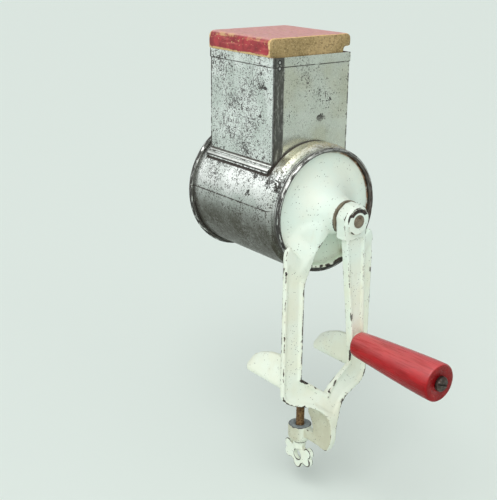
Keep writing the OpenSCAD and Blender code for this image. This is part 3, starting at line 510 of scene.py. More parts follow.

# %% [markdown]
# The enamel is a glassy cream coat with a breath of green. Age shows in three ways: fine dark pinholes, corners
# where the coat has chipped down to black iron with a brown border, and a warm stain in the creases, which is also
# their painted shade. Painted shade also darkens the sides of the clamp's spine below the table's edge. The chips
# follow the wear attribute, because paint breaks first where the surface stands out.

# %% Cream enamel
def cream_enamel():
    look = Finish("cream_enamel")
    x, y, z = look.axes()[0], look.axes()[1], look.axes()[2]
    mint = look.blend(look.span(look.cloud(26, 3, 0.55), 0.35, 0.68), paint(229, 243, 233), paint(233, 241, 228))
    ivory = look.blend(look.span(look.cloud(22, 3, 0.55), 0.35, 0.68), paint(238, 247, 233), paint(236, 241, 222))
    colour = look.blend(look.span(z, 75 * mm, 105 * mm), ivory, mint)
    streak = look.cloud(9, 4, 0.6, where=look.moved((1, 1, 0.35)))
    colour = look.blend(look.span(streak, 0.56, 0.8, 0, 0.3), colour, paint(214, 212, 186))
    # painted shade and grime in the creases, found by ambient occlusion
    crease_shade_and_grime = look.span(look.creases(4), 0.35, 0.92, 0.95, 0.0)
    crease_shade_and_grime = look.sum("MULTIPLY", crease_shade_and_grime, look.span(look.cloud(5, 3, 0.6), 0.25, 0.65, 0.15, 1.0))
    colour = look.blend(crease_shade_and_grime, colour, paint(150, 132, 96))
    # painted shade: the sides of the clamp's spine, below the table's edge, are darker and warmer
    facing = look.axes(look.facing)
    below = look.sum("MULTIPLY", look.span(z, -32 * mm, -14 * mm, 1.0, 0.0), look.span(look.cloud(14, 3, 0.6), 0.2, 0.6, 0.6, 1.0))
    sideways = look.span(look.sum("ABSOLUTE", facing[0]), 0.5, 0.9, 0.25, 1.0)
    below = look.sum("MULTIPLY", below, look.sum("MULTIPLY", sideways, look.span(z, -64 * mm, -62.5 * mm)))
    colour = look.blend(look.sum("MULTIPLY", below, 0.9), colour, paint(192, 190, 164))
    # a brown line where the disc meets the rolled rim, strongest on the right
    rim = look.span(look.around_drum(), 39.3 * mm, 40.6 * mm)
    rim = look.sum("MULTIPLY", rim, look.span(y, -21.5 * mm, -19.5 * mm))
    rim = look.sum("MULTIPLY", rim, look.span(x, -20 * mm, 25 * mm, 0.25, 1.0))
    rim = look.sum("MULTIPLY", rim, look.span(look.around_drum(), 43 * mm, 44 * mm, 1.0, 0.0))
    rim = look.sum("MULTIPLY", rim, look.span(look.cloud(6, 4, 0.6), 0.32, 0.5))
    rim_tone = look.blend(look.span(look.cloud(3, 3, 0.6), 0.4, 0.6), paint(176, 138, 104), paint(104, 74, 50))
    colour = look.blend(rim, colour, rim_tone)
    # pinholes gather in patches
    pinholes = look.span(look.dots(1.9), 0.12, 0.20, 0.72, 0.0)
    chosen = look.span(look.cloud(10, 3, 0.6, where=look.moved((1, 1, 1), shift=(0.3, 0.1, 0.2))), 0.47, 0.56)
    pinholes = look.sum("MULTIPLY", pinholes, chosen)
    # chips on what stands out
    ragged = look.cloud(4.0, 5, 0.65)
    patchy = look.cloud(17, 2, 0.5, where=look.moved((1, 1, 1), shift=(0.7, 0.2, 0.5)))
    edge = look.sum("ADD", look.worn(), look.sum("ADD", look.sum("MULTIPLY", ragged, 0.5), look.sum("MULTIPLY", patchy, 0.6)))
    beside_leg = look.sum("ABSOLUTE", look.sum("SUBTRACT", look.sum("ABSOLUTE", x), 22.8 * mm))
    inner_edge = look.sum("MULTIPLY", look.span(beside_leg, 1.2 * mm, 2.2 * mm, 1.0, 0.0), look.span(z, 88 * mm, 96 * mm, 1.0, 0.0))
    inner_edge = look.sum("MULTIPLY", inner_edge, look.span(y, -26 * mm, -24 * mm, 1.0, 0.0))
    inner_edge = look.sum("MULTIPLY", inner_edge, look.span(look.cloud(13, 3, 0.6), 0.42, 0.58, 0.25, 1.0))
    edge = look.sum("ADD", edge, look.sum("MULTIPLY", inner_edge, 0.18))
    edge = look.sum("ADD", edge, look.span(z, -64 * mm, -62.5 * mm, 0.06, 0.0))
    outstanding = look.span(look.worn(), 0.57, 0.63)
    halo = look.sum("MULTIPLY", look.span(edge, 1.235, 1.315), outstanding)
    chip = look.sum("MULTIPLY", look.span(edge, 1.28, 1.30), outstanding)
    # a large chip on top of the crank's nose
    nose = look.span(look.around_drum(), 5.6 * mm, 6.2 * mm)
    nose = look.sum("MULTIPLY", nose, look.span(look.around_drum(), 8.4 * mm, 8.8 * mm, 1.0, 0.0))
    nose = look.sum("MULTIPLY", nose, look.span(y, -51 * mm, -50 * mm, 1.0, 0.0))
    nose = look.sum("MULTIPLY", nose, look.span(look.sum("ADD", z, look.sum("MULTIPLY", ragged, 5 * mm)), 130.4 * mm, 130.8 * mm))
    chip = look.sum("MAXIMUM", chip, nose)
    colour = look.blend(look.sum("MULTIPLY", halo, 0.5), colour, paint(170, 146, 108))
    iron = look.blend(look.span(look.cloud(1.6, 3, 0.6), 0.4, 0.65), paint(30, 28, 30), paint(74, 62, 54))
    bare = look.sum("MAXIMUM", chip, pinholes)
    colour = look.blend(bare, colour, iron)
    # the top of the boss, rubbed bare by the pad
    from_screw = look.add("VectorMath")
    from_screw.operation = "LENGTH"
    look.feed(from_screw.inputs[0], look.moved((1, 1, 0)))
    spread = look.sum("ADD", from_screw.outputs["Value"], look.sum("MULTIPLY", look.cloud(3, 4, 0.6), 1.6 * mm))
    top = look.sum("ABSOLUTE", look.sum("SUBTRACT", z, boss_top))
    top = look.span(top, 0.6 * mm, 1.0 * mm, 1.0, 0.0)
    rubbed = look.sum("MULTIPLY", top, look.span(spread, 9.3 * mm, 9.6 * mm, 1.0, 0.0))
    border = look.sum("MULTIPLY", top, look.span(spread, 8.8 * mm, 9.2 * mm))
    border = look.sum("MULTIPLY", border, rubbed)
    tone = look.blend(look.span(look.cloud(2.5, 4, 0.6), 0.35, 0.65), paint(166, 176, 180), paint(126, 134, 138))
    colour = look.blend(rubbed, colour, tone)
    colour = look.blend(border, colour, paint(46, 42, 42))
    bare = look.sum("MAXIMUM", bare, rubbed)
    rough = look.blend(bare, (0.4, 0.4, 0.4, 1), (0.62, 0.62, 0.62, 1))
    lumps = look.sum("ADD", look.sum("MULTIPLY", look.cloud(8, 3, 0.5), 0.8), look.sum("MULTIPLY", look.cloud(2.2, 2), 0.15))
    normal = look.bump(look.sum("SUBTRACT", lumps, look.sum("MULTIPLY", bare, 0.35)), 0.45)
    look.shader.inputs["Specular IOR Level"].default_value = 0.3
    look.shader.inputs["Coat Weight"].default_value = 0.08
    look.shader.inputs["Coat Roughness"].default_value = 0.15
    return look.done(colour, rough, None, normal)


boss_top = -50 * mm
enamel = cream_enamel()

# %% [markdown]
# Tinplate is thin steel with a skin of tin. Old tinplate keeps a soft shine between countless small dark pits,
# scratches and blotches where the tin has gone. The left face of the hopper and the housing have most of them.
# The rolled rims and the corner seam have lost nearly all their tin, and are dark with bright streaks.

# %% Worn tinplate
def worn_tin(name, rims):
    look = Finish(name)
    x, y, z = look.axes()[0], look.axes()[1], look.axes()[2]
    facing = look.axes(look.facing)
    colour = look.blend(look.span(look.cloud(20, 3, 0.5), 0.35, 0.65), paint(238, 243, 240), paint(210, 217, 212))
    # the front face was rubbed smooth by hands, the side faces were not; the front is also painted darker and warmer
    # than the sides, as shade
    smooth_face = look.span(facing[1], -0.98, -0.8, 1.0, 0.0)
    warm = look.span(look.cloud(30, 2, 0.5, where=look.moved((1, 1, 1), shift=(0.55, 0.35, 0.25))), 0.4, 0.62)
    front_face_shade = look.blend(warm, paint(192, 196, 184), paint(181, 181, 160))
    colour = look.blend(look.sum("MULTIPLY", smooth_face, 0.75), colour, front_face_shade)
    # pits, spots, scratches and blotches, denser in some places than in others
    patches = look.cloud(24, 3, 0.6, where=look.moved((1, 1, 1), shift=(0.4, 0, 0)))
    amount = look.sum("SUBTRACT", look.sum("MULTIPLY", look.sum("SUBTRACT", patches, 0.5), 0.28),
                      look.sum("MULTIPLY", smooth_face, 0.055))
    fine = look.cloud(1.15, 3, 0.62)
    coarse = look.cloud(3.1, 5, 0.72, twist=0.6)
    scratch = look.cloud(2.0, 4, 0.6, where=look.moved((1.2, 2.2, 0.3), turn=(0.5, 0.2, 0.3)))
    scratch_2 = look.cloud(2.2, 4, 0.6, where=look.moved((0.35, 0.5, 2.4), turn=(0.3, -0.4, 0.2), shift=(0.5, 0.6, 0.2)))
    pits = look.span(look.sum("ADD", fine, amount), 0.578, 0.592)
    spots = look.span(look.sum("ADD", coarse, amount), 0.60, 0.62)
    marks = look.span(look.sum("ADD", look.sum("MAXIMUM", scratch, scratch_2), amount), 0.625, 0.645)
    blotch = look.span(look.cloud(12, 4, 0.62, where=look.moved((1, 1, 1), shift=(0.15, 0.8, 0.4))), 0.625, 0.66)
    blotch = look.sum("MULTIPLY", blotch, look.span(fine, 0.36, 0.48, 0.35, 1.0))
    # short cracked lines, where the tin has crazed
    broken = look.span(look.sum("ADD", look.cloud(2.6, 4, 0.7, where=look.moved((1, 1, 1), shift=(0.6, 0.4, 0.7))), amount),
                       0.54, 0.59)
    crazed = look.sum("MULTIPLY", look.span(look.cracks(3.4, bend=1.0), 0.04, 0.078, 0.92, 0.0), broken)
    dark = look.sum("MAXIMUM", look.sum("MULTIPLY", pits, 0.92), look.sum("MULTIPLY", spots, 0.95))
    dark = look.sum("MAXIMUM", dark, crazed)
    dark = look.sum("MAXIMUM", dark, look.sum("MULTIPLY", marks, 0.85))
    dark = look.sum("MAXIMUM", dark, blotch)
    if not rims:
        # the lower part of the front has stayed clean
        clean = look.sum("MULTIPLY", smooth_face, look.span(z, 176 * mm, 188 * mm, 0.85, 0.0))
        dark = look.sum("MULTIPLY", dark, look.sum("SUBTRACT", 1.0, clean))
    pit_colour = look.blend(look.cloud(6, 2), paint(34, 35, 34), paint(62, 60, 54))
    colour = look.blend(dark, colour, pit_colour)
    # painted shade, mottled like tarnish, on what turns away from the light
    low_side = look.span(facing[2], -0.3, 0.4, 1.0, 0.0) if rims else look.span(facing[2], -0.9, -0.3, 1.0, 0.0)
    under = look.sum("MULTIPLY", low_side, look.span(look.cloud(12, 4, 0.6), 0.25, 0.6, 0.88, 1.0))
    under = look.sum("MULTIPLY", under, look.span(coarse, 0.36, 0.5, 0.9, 1.0))
    colour = look.blend(look.sum("MULTIPLY", under, 0.97), colour, paint(62, 58, 46))
    dark = look.sum("MAXIMUM", dark, look.sum("MULTIPLY", under, 0.4))
    # painted shade and grime in the creases
    crease_shade_and_grime = look.span(look.creases(2.5), 0.35, 0.9, 0.9, 0.0)
    colour = look.blend(crease_shade_and_grime, colour, paint(62, 54, 44))
    dark = look.sum("MAXIMUM", dark, crease_shade_and_grime)
    if rims:
        front_bead = look.span(y, (-21 + 3.0) * mm, (-21 + 4.2) * mm, 1.0, 0.0)
        rear_bead = look.span(y, (-21 + 94.8) * mm, (-21 + 95.6) * mm)
        bead = look.sum("MAXIMUM", front_bead, rear_bead)
        node = look.add("Mapping")
        look.feed(node.inputs["Vector"], look.along_rings())
        node.inputs["Scale"].default_value = (0.16, 1, 1)
        streaks = look.cloud(1.1, 4, 0.65, where=node.outputs["Vector"])
        # painted light: the front rim gets more bright streaks towards the top than below
        bright = look.span(z, 110 * mm, 156 * mm, 0.54, 0.46)
        bright = look.sum("MAXIMUM", bright, look.sum("MULTIPLY", rear_bead, 0.55))
        streaks = look.span(look.sum("SUBTRACT", streaks, bright), -0.02, 0.08)
        # the bead is dark beside the disc and where it meets the tube
        outward = look.add("VectorMath")
        outward.operation = "DOT_PRODUCT"
        look.feed(outward.inputs[0], look.facing)
        look.feed(outward.inputs[1], look.moved((1, 0, 1), shift=(0, 0, -drum_axis_z)))
        outward = look.sum("DIVIDE", outward.outputs["Value"], look.around_drum())
        open_side = look.sum("MULTIPLY", look.span(outward, -0.3, 0.3), look.span(y, (-21 + 1.9) * mm, (-21 + 2.5) * mm, 1.0, 0.0))
        open_side = look.sum("MAXIMUM", open_side, rear_bead)
        streaks = look.sum("MULTIPLY", streaks, look.sum("ADD", look.sum("MULTIPLY", open_side, 0.85), 0.15))
        rust = look.sum("MULTIPLY", look.span(x, 0.0, 26 * mm), look.span(look.cloud(4, 4, 0.6), 0.35, 0.55, 0.3, 1.0))
        rust = look.sum("MULTIPLY", rust, look.span(outward, -0.3, 0.2, 1.0, 0.0))
        rim_dark = look.blend(rust, paint(46, 44, 41), paint(58, 44, 36))
        rim_colour = look.blend(streaks, rim_dark, paint(206, 208, 204))
        colour = look.blend(look.sum("MULTIPLY", bead, 0.97), colour, rim_colour)
        dark = look.blend(bead, dark, look.sum("SUBTRACT", 0.85, look.sum("MULTIPLY", streaks, 0.85)))
        # painted shadow lines on the tube: under the hopper's foot, beside the front rim, and where the hopper's front
        # stands on the tube
        angle = look.axes(look.along_rings())[0]
        angle = look.sum("ABSOLUTE", angle)
        foot_shadow = look.sum("ABSOLUTE", look.sum("SUBTRACT", angle, math.radians(90 - bead_angle + 3.7) * 45 * mm))
        along_foot = look.sum("MULTIPLY", look.span(y, -2.9 * mm, -2.3 * mm), look.span(y, 69.5 * mm, 70.2 * mm, 1.0, 0.0))
        foot_shadow = look.sum("MULTIPLY", look.span(foot_shadow, 0.95 * mm, 1.35 * mm, 0.97, 0.0), along_foot)
        # the foot's front end throws a short painted shadow on the tube
        foot_end = look.sum("ABSOLUTE", look.sum("SUBTRACT", angle, math.radians(90 - bead_angle) * 45 * mm))
        foot_end = look.sum("MULTIPLY", look.span(foot_end, 3.6 * mm, 4.2 * mm, 0.95, 0.0), look.span(y, -3.3 * mm, -2.9 * mm))
        foot_end = look.sum("MULTIPLY", foot_end, look.span(y, -1.5 * mm, -1.2 * mm, 1.0, 0.0))
        foot_shadow = look.sum("MAXIMUM", foot_shadow, foot_end)
        ring_line = look.sum("ABSOLUTE", look.sum("SUBTRACT", y, (-21 + 4.6) * mm))
        ring_line = look.sum("MULTIPLY", look.span(ring_line, 0.25 * mm, 0.7 * mm, 0.8, 0.0),
                             look.span(look.cloud(5, 3), 0.3, 0.5, 0.5, 1.0))
        stand = look.sum("ABSOLUTE", look.sum("SUBTRACT", y, -2.9 * mm))
        stand = look.sum("MULTIPLY", look.span(stand, 0.9 * mm, 1.5 * mm, 0.98, 0.0), look.span(z, 148 * mm, 152 * mm))
        # the upper edge of the lapped seam along the left side
        lap = look.sum("ABSOLUTE", look.sum("SUBTRACT", z, drum_axis_z + 4.4 * mm))
        lap = look.sum("MULTIPLY", look.span(lap, 0.2 * mm, 0.5 * mm, 0.9, 0.0), look.span(x, -44 * mm, -42 * mm, 1.0, 0.0))
        lap = look.sum("MULTIPLY", lap, look.span(look.cloud(3, 4, 0.7), 0.4, 0.5, 0.1, 1.0))
        # rust has spread from there over the top of the mouth
        warm = look.sum("MULTIPLY", look.span(y, -15 * mm, -11 * mm), look.span(y, -3 * mm, -1 * mm, 1.0, 0.0))
        warm = look.sum("MULTIPLY", warm, look.span(z, 150 * mm, 162 * mm, 0.0, 0.6))
        warm = look.sum("MULTIPLY", warm, look.span(look.cloud(7, 3, 0.6), 0.3, 0.6, 0.4, 1.0))
        colour = look.blend(warm, colour, paint(216, 208, 166))
        # the painted shadow lines and the seam's edge are drawn dark
        lines = look.sum("MAXIMUM", look.sum("MAXIMUM", foot_shadow, ring_line), look.sum("MAXIMUM", stand, lap))
        colour = look.blend(lines, colour, paint(40, 30, 20))
        dark = look.sum("MAXIMUM", dark, lines)
    else:
        # painted shade in the corner where a side wall turns into its foot
        root = look.sum("MULTIPLY", look.span(z, 157.0 * mm, 157.8 * mm, 0.9, 0.0), look.span(z, 155.6 * mm, 156.4 * mm))
        root = look.sum("MULTIPLY", root, look.span(look.sum("ABSOLUTE", x), 32 * mm, 32.6 * mm))
        colour = look.blend(root, colour, paint(56, 48, 40))
        dark = look.sum("MAXIMUM", dark, root)
        seam = look.sum("MULTIPLY", look.span(x, -25.6 * mm, -24.6 * mm, 1.0, 0.0), look.span(y, -1.2 * mm, -0.6 * mm, 1.0, 0.0))
        worn_seam = look.blend(look.span(look.cloud(2.4, 4, 0.7, where=look.moved((1, 1, 0.35))), 0.48, 0.68), paint(44, 43, 41), paint(138, 140, 134))
        colour = look.blend(look.sum("MULTIPLY", seam, 0.9), colour, worn_seam)
        dark = look.sum("MAXIMUM", dark, look.sum("MULTIPLY", seam, 0.55))
        # a dark line of painted shadow and grime under the folded hem, and the darker edges of the box
        hem = look.sum("ABSOLUTE", look.sum("SUBTRACT", z, hem_line))
        hem = look.sum("MULTIPLY", look.span(hem, 0.2 * mm, 0.55 * mm, 1.0, 0.0), look.span(look.cloud(4, 4), 0.35, 0.5, 0.25, 1.0))
        gone_edge = look.span(look.cloud(5, 4, 0.7), 0.42, 0.52)
        on_front = look.span(look.sum("ABSOLUTE", facing[1]), 0.5, 0.6)
        on_side = look.span(look.sum("ABSOLUTE", facing[0]), 0.5, 0.6)
        right_edge = look.sum("MULTIPLY", look.span(look.sum("ABSOLUTE", x), 32.0 * mm, 32.8 * mm), on_front)
        rear_edge = look.sum("MULTIPLY", look.span(y, 68.3 * mm, 69.3 * mm), on_side)
        edges = look.sum("MULTIPLY", look.sum("MAXIMUM", right_edge, rear_edge), gone_edge)
        lines = look.sum("MAXIMUM", look.sum("MULTIPLY", hem, 0.9), edges)
        colour = look.blend(lines, colour, paint(50, 46, 42))
        dark = look.sum("MAXIMUM", dark, lines)
        # two spots of solder near the top of the seam
        for height in (3.0, 7.0):
            from_spot = look.add("VectorMath")
            from_spot.operation = "DISTANCE"
            look.feed(from_spot.inputs[0], look.object)
            from_spot.inputs[1].default_value = (-29.0 * mm, -2.6 * mm, hem_line + (6.3 - height) * mm)
            spot = look.span(from_spot.outputs["Value"], 1.5 * mm, 1.9 * mm, 1.0, 0.0)
            colour = look.blend(spot, colour, paint(36, 34, 32))
            spot = look.span(from_spot.outputs["Value"], 0.5 * mm, 1.2 * mm, 1.0, 0.0)
            colour = look.blend(spot, colour, paint(176, 179, 174))
    metallic = look.span(dark, 0.0, 1.0, 0.9, 0.15)
    rough = look.sum("ADD", look.span(dark, 0.0, 1.0, 0.26, 0.66), look.sum("MULTIPLY", look.sum("SUBTRACT", look.cloud(4, 3), 0.5), 0.25))
    waves = look.cloud(14, 2, 0.4, where=look.moved((1, 1, 1), shift=(0.2, 0.9, 0.1)))
    normal = look.bump(look.sum("SUBTRACT", waves, look.sum("MULTIPLY", dark, 0.06)), 0.5)
    return look.done(colour, rough, metallic, normal)


hem_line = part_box("hopper")[1].z - 6.3 * mm
hopper_tin = worn_tin("hopper_tin", False)
housing_tin = worn_tin("housing_tin", True)

# %% [markdown]
# The pusher's red paint is thin. It has gone from the edges, where pale wood shows, and the front and back faces
# are bare end grain: tan, speckled, with short dark pores. The wear attribute finds the edges, and the surface
# normal finds the two sawn ends.

# %% Painted wood
def painted_wood():
    look = Finish("painted_wood")
    facing = look.axes(look.facing)
    end_grain = look.span(look.sum("ABSOLUTE", facing[1]), 0.62, 0.74)
    pores = look.cloud(1.3, 3, 0.7)
    flecks = look.cloud(1.1, 3, 0.7, where=look.moved((1, 1, 1), shift=(0.9, 0.2, 0.6)))
    wood = look.blend(look.span(look.cloud(16, 3, 0.5), 0.35, 0.65), paint(184, 158, 112), paint(158, 136, 90))
    wood = look.blend(look.span(pores, 0.48, 0.62, 0, 0.75), wood, paint(118, 98, 62))
    wood = look.blend(look.span(flecks, 0.56, 0.66, 0, 0.6), wood, paint(214, 192, 146))
    long_grain = look.cloud(1.8, 4, 0.6, where=look.moved((1, 0.07, 1)))
    pale = look.blend(look.span(long_grain, 0.35, 0.7), paint(236, 206, 150), paint(212, 172, 112))
    wood = look.blend(end_grain, pale, wood)
    red = look.blend(look.span(look.cloud(9, 4, 0.65), 0.38, 0.62), paint(132, 22, 34), paint(176, 50, 58))
    red = look.blend(look.span(long_grain, 0.5, 0.75, 0, 0.6), red, paint(222, 116, 110))
    # the top is paler: its paint has bleached and is dusty, with a painted sheen
    top = look.sum("MULTIPLY", look.span(facing[2], 0.6, 0.95), look.span(look.cloud(4, 5, 0.8), 0.3, 0.62, 0.55, 0.95))
    red = look.blend(top, red, paint(232, 176, 172))
    edge = look.sum("ADD", look.worn(), look.sum("MULTIPLY", look.cloud(3.5, 5, 0.65), 0.35))
    edge = look.sum("ADD", edge, look.sum("MULTIPLY", look.cloud(14, 2, 0.5), 0.25))
    gone = look.sum("MULTIPLY", look.span(edge, 0.87, 0.95), look.span(look.worn(), 0.56, 0.6))
    high = look.span(look.axes()[2], cap_top - 9 * mm, cap_top - 2 * mm, 0.0, 0.05)
    scuffs = look.cloud(1.6, 4, 0.7, where=look.moved((1, 0.35, 1), shift=(0.5, 0.3, 0.6)))
    scuffs = look.span(look.sum("ADD", scuffs, high), 0.64, 0.68)
    gone = look.sum("MAXIMUM", gone, look.sum("MULTIPLY", scuffs, 0.7))
    bare = look.sum("MAXIMUM", gone, end_grain)
    colour = look.blend(bare, red, wood)
    dust = look.span(look.cloud(0.9, 3, 0.7, where=look.moved((1, 1, 1), shift=(0.2, 0.7, 0.1))), 0.6, 0.66, 0, 0.3)
    colour = look.blend(dust, colour, paint(120, 64, 60))
    rough = look.blend(bare, (0.42, 0.42, 0.42, 1), (0.75, 0.75, 0.75, 1))
    normal = look.bump(look.sum("SUBTRACT", look.sum("MULTIPLY", long_grain, 0.4), look.sum("MULTIPLY", bare, 0.4)), 0.3)
    normal = look.bump(look.sum("MULTIPLY", pores, end_grain), 0.2, normal)
    return look.done(colour, rough, None, normal)


cap_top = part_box("pusher")[1].z
pusher_paint = painted_wood()

# %% [markdown]
# The grip has a thick glossy red lacquer over straight grain. The grain shows as fine lengthwise lines in the
# shine rather than in the colour, with a few pale nicks. So the lines go mostly into the bump, and the colour
# drifts between two close reds, with painted shade on the lower side and a broad painted highlight on the upper side.

# %% Lacquered grip
def lacquered_wood():
    look = Finish("lacquered_wood")
    y = look.axes()[1]
    facing = look.axes(look.facing)
    grain = look.cloud(1.5, 5, 0.62, where=look.moved((1, 0.06, 1)))
    broad = look.cloud(7, 3, 0.5, where=look.moved((1, 0.3, 1)))
    colour = look.blend(look.span(broad, 0.35, 0.68), paint(152, 8, 16), paint(184, 22, 30))
    colour = look.blend(look.span(grain, 0.52, 0.75, 0, 0.5), colour, paint(124, 10, 18))
    colour = look.blend(look.span(facing[1], -0.97, -0.85, 0.45, 0.0), colour, paint(104, 30, 28))
    nick = look.span(look.cloud(1.8, 4, 0.7, where=look.moved((1, 0.5, 1), shift=(0.2, 0.5, 0.9))), 0.70, 0.72)
    colour = look.blend(nick, colour, paint(226, 150, 138))
    # painted shade and grime in the creases
    crease_shade_and_grime = look.span(look.creases(2), 0.4, 0.9, 0.6, 0.0)
    colour = look.blend(crease_shade_and_grime, colour, paint(90, 14, 18))
    # painted shade on the lower side, together with darkening from handling
    lower_shade_and_handling = look.span(facing[2], -0.8, 0.2, 0.6, 0.0)
    colour = look.blend(lower_shade_and_handling, colour, paint(112, 10, 18))
    # a broad painted highlight on the upper side, in streaks along the grain
    painted_highlight = look.sum("MULTIPLY", look.span(facing[2], 0.25, 0.8, 0.0, 0.55), look.span(grain, 0.3, 0.6, 0.5, 1.0))
    colour = look.blend(painted_highlight, colour, paint(228, 110, 112))
    # the gloss is left where the hand rubs least, and in streaks
    gloss = look.sum("MULTIPLY", look.span(facing[2], -0.1, 0.6, 0.08, 1.0), look.span(grain, 0.3, 0.7, 1.0, 0.45))
    look.feed(look.shader.inputs["Coat Weight"], gloss)
    rough = look.span(grain, 0.35, 0.65, 0.22, 0.46)
    normal = look.bump(look.sum("ADD", grain, look.sum("MULTIPLY", broad, 0.6)), 0.5)
    look.shader.inputs["Specular IOR Level"].default_value = 0.15
    look.shader.inputs["Coat Roughness"].default_value = 0.25
    return look.done(colour, rough, None, normal)


grip_lacquer = lacquered_wood()

# %% [markdown]
# The small metal parts differ in age. The crank's shaft and the bolt are dark turned steel, the clamp screw is
# brown with rust, the thumb nut is dull grey cast metal and the drum is brighter tin. One recipe makes all of
# them: two tones, a share of stain, painted shade in the creases and, for the foot's beads, on the lower side,
# and how rough it is.

# %% Small metals
def aged_metal(name, bright, dull, stain, share, rough_low, rough_high, metallic, grain=2.0, underside_shade=None):
    look = Finish(name)
    tone = look.cloud(grain * 3, 4, 0.6)
    colour = look.blend(look.span(tone, 0.35, 0.66), bright, dull)
    rust = look.span(look.cloud(grain, 5, 0.68, where=look.moved((1, 1, 1), shift=(0.3, 0.3, 0.1))), 0.62 - share * 0.3, 0.74 - share * 0.3)
    colour = look.blend(rust, colour, stain)
    # painted shade and grime in the creases
    crease_shade_and_grime = look.span(look.creases(1.5), 0.3, 0.9, 0.7, 0.0)
    colour = look.blend(crease_shade_and_grime, colour, paint(44, 36, 30))
    # painted shade on the lower side, for the foot's beads
    if underside_shade:
        lower = look.span(look.axes(look.facing)[2], 0.2, 0.42, 0.92, 0.0)
        colour = look.blend(lower, colour, underside_shade)
    rough = look.span(rust, 0, 1, rough_low, rough_high)
    shine = look.span(rust, 0, 1, metallic, metallic * 0.35)
    normal = look.bump(look.cloud(grain, 4, 0.6), 0.12)
    return look.done(colour, rough, shine, normal)


turned_steel = aged_metal("turned_steel", paint(142, 130, 112), paint(112, 102, 88), paint(84, 64, 46), 0.3, 0.4, 0.7, 0.6)
bolt_steel = aged_metal("bolt_steel", paint(96, 88, 82), paint(62, 56, 54), paint(60, 44, 36), 0.5, 0.35, 0.7, 0.85, 1.2)
screw_steel = aged_metal("screw_steel", paint(150, 118, 74), paint(116, 88, 54), paint(96, 64, 36), 0.5, 0.42, 0.75, 0.4, 1.4)
nut_metal = aged_metal("nut_metal", paint(160, 160, 156), paint(134, 134, 130), paint(98, 92, 82), 0.15, 0.42, 0.7, 0.8)
drum_tin = aged_metal("drum_tin", paint(204, 206, 202), paint(174, 178, 174), paint(112, 102, 88), 0.05, 0.28, 0.6, 0.92)
foot_tin = aged_metal("foot_tin", paint(240, 243, 240), paint(204, 208, 202), paint(84, 78, 70), 0.12, 0.3, 0.65, 0.85, 1.3,
                      underside_shade=paint(46, 38, 30))
rim_wire = aged_metal("rim_wire", paint(120, 116, 110), paint(84, 78, 72), paint(70, 56, 44), 0.3, 0.4, 0.7, 0.8)

# %% [markdown]
# The boss that the screw passes through has lost its enamel on top, where the pad turned against it, and bare
# blue-grey iron shows. It is part of the casting, so the enamel itself mixes that bare iron in by position, only
# in a small circle around the screw.

# %% Put the finishes on
for name, material in (
    ("housing_tube", housing_tin), ("hopper", hopper_tin), ("front_rim_wire", rim_wire), ("rear_rim_wire", rim_wire),
    ("crank_shaft", turned_steel), ("thrust_washer", turned_steel), ("grip_bolt", bolt_steel),
    ("drum_front_plate", drum_tin), ("drum_hub_plate", drum_tin),
    ("drum_rivets", nut_metal), ("drum_washer", nut_metal), ("swivel_pad", nut_metal),
    *((name, drum_tin) for name in nodes if name.startswith("drum_panel")),
):
    slots = nodes[name].data.materials
    slots.clear()
    slots.append(material)
for piece, material in ((casting, enamel), (arm, enamel), (wing, enamel), (thumb_nut, nut_metal),
                        (screw, screw_steel), (pusher_block, pusher_paint), (grip, grip_lacquer), (drum_teeth, drum_tin),
                        *((bead, foot_tin) for bead in foot_beads)):
    piece.data.materials.append(material)
print("finishes on", len(nodes), "nodes")

# %% [markdown]
# The object is alone above a plain pale floor. The floor lies just under the lowest place that the thumb screw
# reaches, so that nothing dips into it when the clamp opens. A pale world surrounds it, brighter towards the
# window. Light Path gives each kind of ray its own share: what the camera sees is plain and pale, what metal
# mirrors is brighter, and what lights the object is weaker, so the background can be light without flooding it.

# %% Floor and world
screw_drop = max(joint.get("range_m", (0, 0))[1] for joint in frame["record"]["behaviour"]["joints"]
                 if joint["name"] == "pad_travel")
floor_height = cad_box[0][2] - screw_drop - 0.001
print("floor at", round(floor_height, 4))
floor_shape = bmesh.new()
bmesh.ops.create_grid(floor_shape, x_segments=1, y_segments=1, size=6)
bmesh.ops.translate(floor_shape, verts=floor_shape.verts, vec=(0, 0, floor_height))
floor_mesh = bpy.data.meshes.new("floor")
floor_shape.to_mesh(floor_mesh)
floor_shape.free()
floor = bpy.data.objects.new("floor", floor_mesh)
bpy.context.scene.collection.objects.link(floor)
floor_look = Finish("pale_floor", roughness=1.0)
floor_look.shader.inputs["Specular IOR Level"].default_value = 0.0
floor_look.shader.inputs["Base Color"].default_value = paint(233, 243, 238)
floor.data.materials.append(floor_look.material)

world = bpy.data.worlds.new("pale_room")
world.use_nodes = True
bpy.context.scene.world = world
tree = world.node_tree
room = tree.nodes["Background"]
direction = tree.nodes.new("ShaderNodeTexCoord")
towards_window = tree.nodes.new("ShaderNodeVectorMath")
towards_window.operation = "DOT_PRODUCT"
towards_window.inputs[1].default_value = Vector((-0.8, -0.25, 0.55)).normalized()
tree.links.new(direction.outputs["Generated"], towards_window.inputs[0])
fall = tree.nodes.new("ShaderNodeMapRange")
fall.interpolation_type = "SMOOTHSTEP"
fall.inputs["From Min"].default_value = -0.3
fall.inputs["From Max"].default_value = 1.0
tree.links.new(towards_window.outputs["Value"], fall.inputs["Value"])


def room_light(far, near):
    """The room's colour for one kind of ray, from the far side to the window side."""
    shade = tree.nodes.new("ShaderNodeMix")
    shade.data_type = "RGBA"
    shade.inputs[6].default_value = far
    shade.inputs[7].default_value = near
    tree.links.new(fall.outputs["Result"], shade.inputs["Factor"])
    return shade.outputs[2]


def chosen_by(ray, otherwise, colour):
    """Uses a colour for one kind of ray, and another for the rest."""
    node = tree.nodes.new("ShaderNodeMix")
    node.data_type = "RGBA"
    tree.links.new(rays.outputs[ray], node.inputs["Factor"])
    tree.links.new(otherwise, node.inputs[6])
    tree.links.new(colour, node.inputs[7])
    return node.outputs[2]


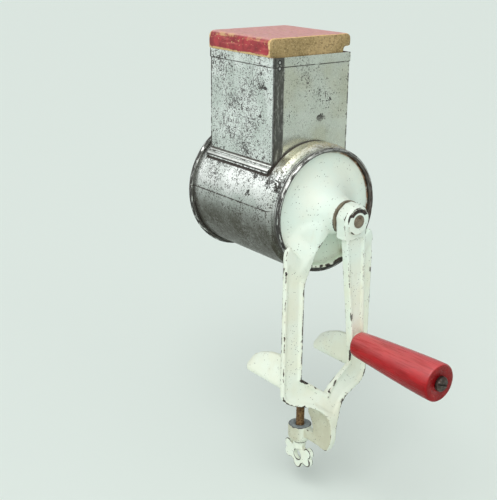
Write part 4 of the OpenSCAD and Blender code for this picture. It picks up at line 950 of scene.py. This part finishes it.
rays = tree.nodes.new("ShaderNodeLightPath")
lighting = room_light((0.31, 0.32, 0.318, 1), (0.89, 0.9, 0.89, 1))
mirrored = room_light((0.4, 0.41, 0.41, 1), (1.8, 1.82, 1.8, 1))
backdrop = room_light(paint(220, 230, 225), paint(222, 232, 227))
seen = chosen_by("Is Glossy Ray", lighting, mirrored)
seen = chosen_by("Is Transmission Ray", seen, mirrored)
seen = chosen_by("Is Camera Ray", seen, backdrop)
tree.links.new(seen, room.inputs["Color"])

# %% [markdown]
# The photograph was lit by large windows high on the left. One very soft sun stands for them, because it lights
# the floor evenly far behind the object, where a lamp's light would fall off. A weak lamp in front opens the
# shadows between the legs.

# %% Lamps
def aimed(name, light, position, target):
    lamp = bpy.data.objects.new(name, light)
    bpy.context.scene.collection.objects.link(lamp)
    lamp.location = position
    lamp.rotation_euler = (Vector(target) - Vector(position)).to_track_quat("-Z", "Y").to_euler()
    return lamp


aim = (0, 0, 0.09)
window = bpy.data.lights.new("window", "SUN")
window.energy = 0.98
window.angle = 0.6
window.color = (1.0, 0.995, 0.97)
aimed("window", window, (-0.95, -0.78, 1.65), aim)
front = bpy.data.lights.new("front_fill", "AREA")
front.shape = "DISK"
front.size = 1.2
front.energy = 2.0
aimed("front_fill", front, (-0.3, -1.4, 1.0), aim)

# %% [markdown]
# The camera was found by matching the rims, the hopper's corners and the feet of the CAD frame to the
# photograph. It looks from the front left and a little above, and is rolled by half a degree.

# %% Camera
azimuth, elevation, roll = (math.radians(v) for v in (-37.341, 18.626, 0.614))
photo_long_side, focal_pixels = 500, 957.787
back = Vector((math.sin(azimuth) * math.cos(elevation), -math.cos(azimuth) * math.cos(elevation), math.sin(elevation)))
camera_data = bpy.data.cameras.new("photo_camera")
camera_data.sensor_width = 36
camera_data.lens = focal_pixels / photo_long_side * camera_data.sensor_width
camera_data.clip_start = 0.01
camera = bpy.data.objects.new("photo_camera", camera_data)
bpy.context.scene.collection.objects.link(camera)
camera.location = (-0.42804, -0.49378, 0.30881)
camera.rotation_mode = "QUATERNION"
camera.rotation_quaternion = (-back).to_track_quat("-Z", "Y") @ Quaternion((0, 0, 1), roll)
bpy.context.scene.camera = camera
bpy.context.scene.view_settings.view_transform = "Standard"
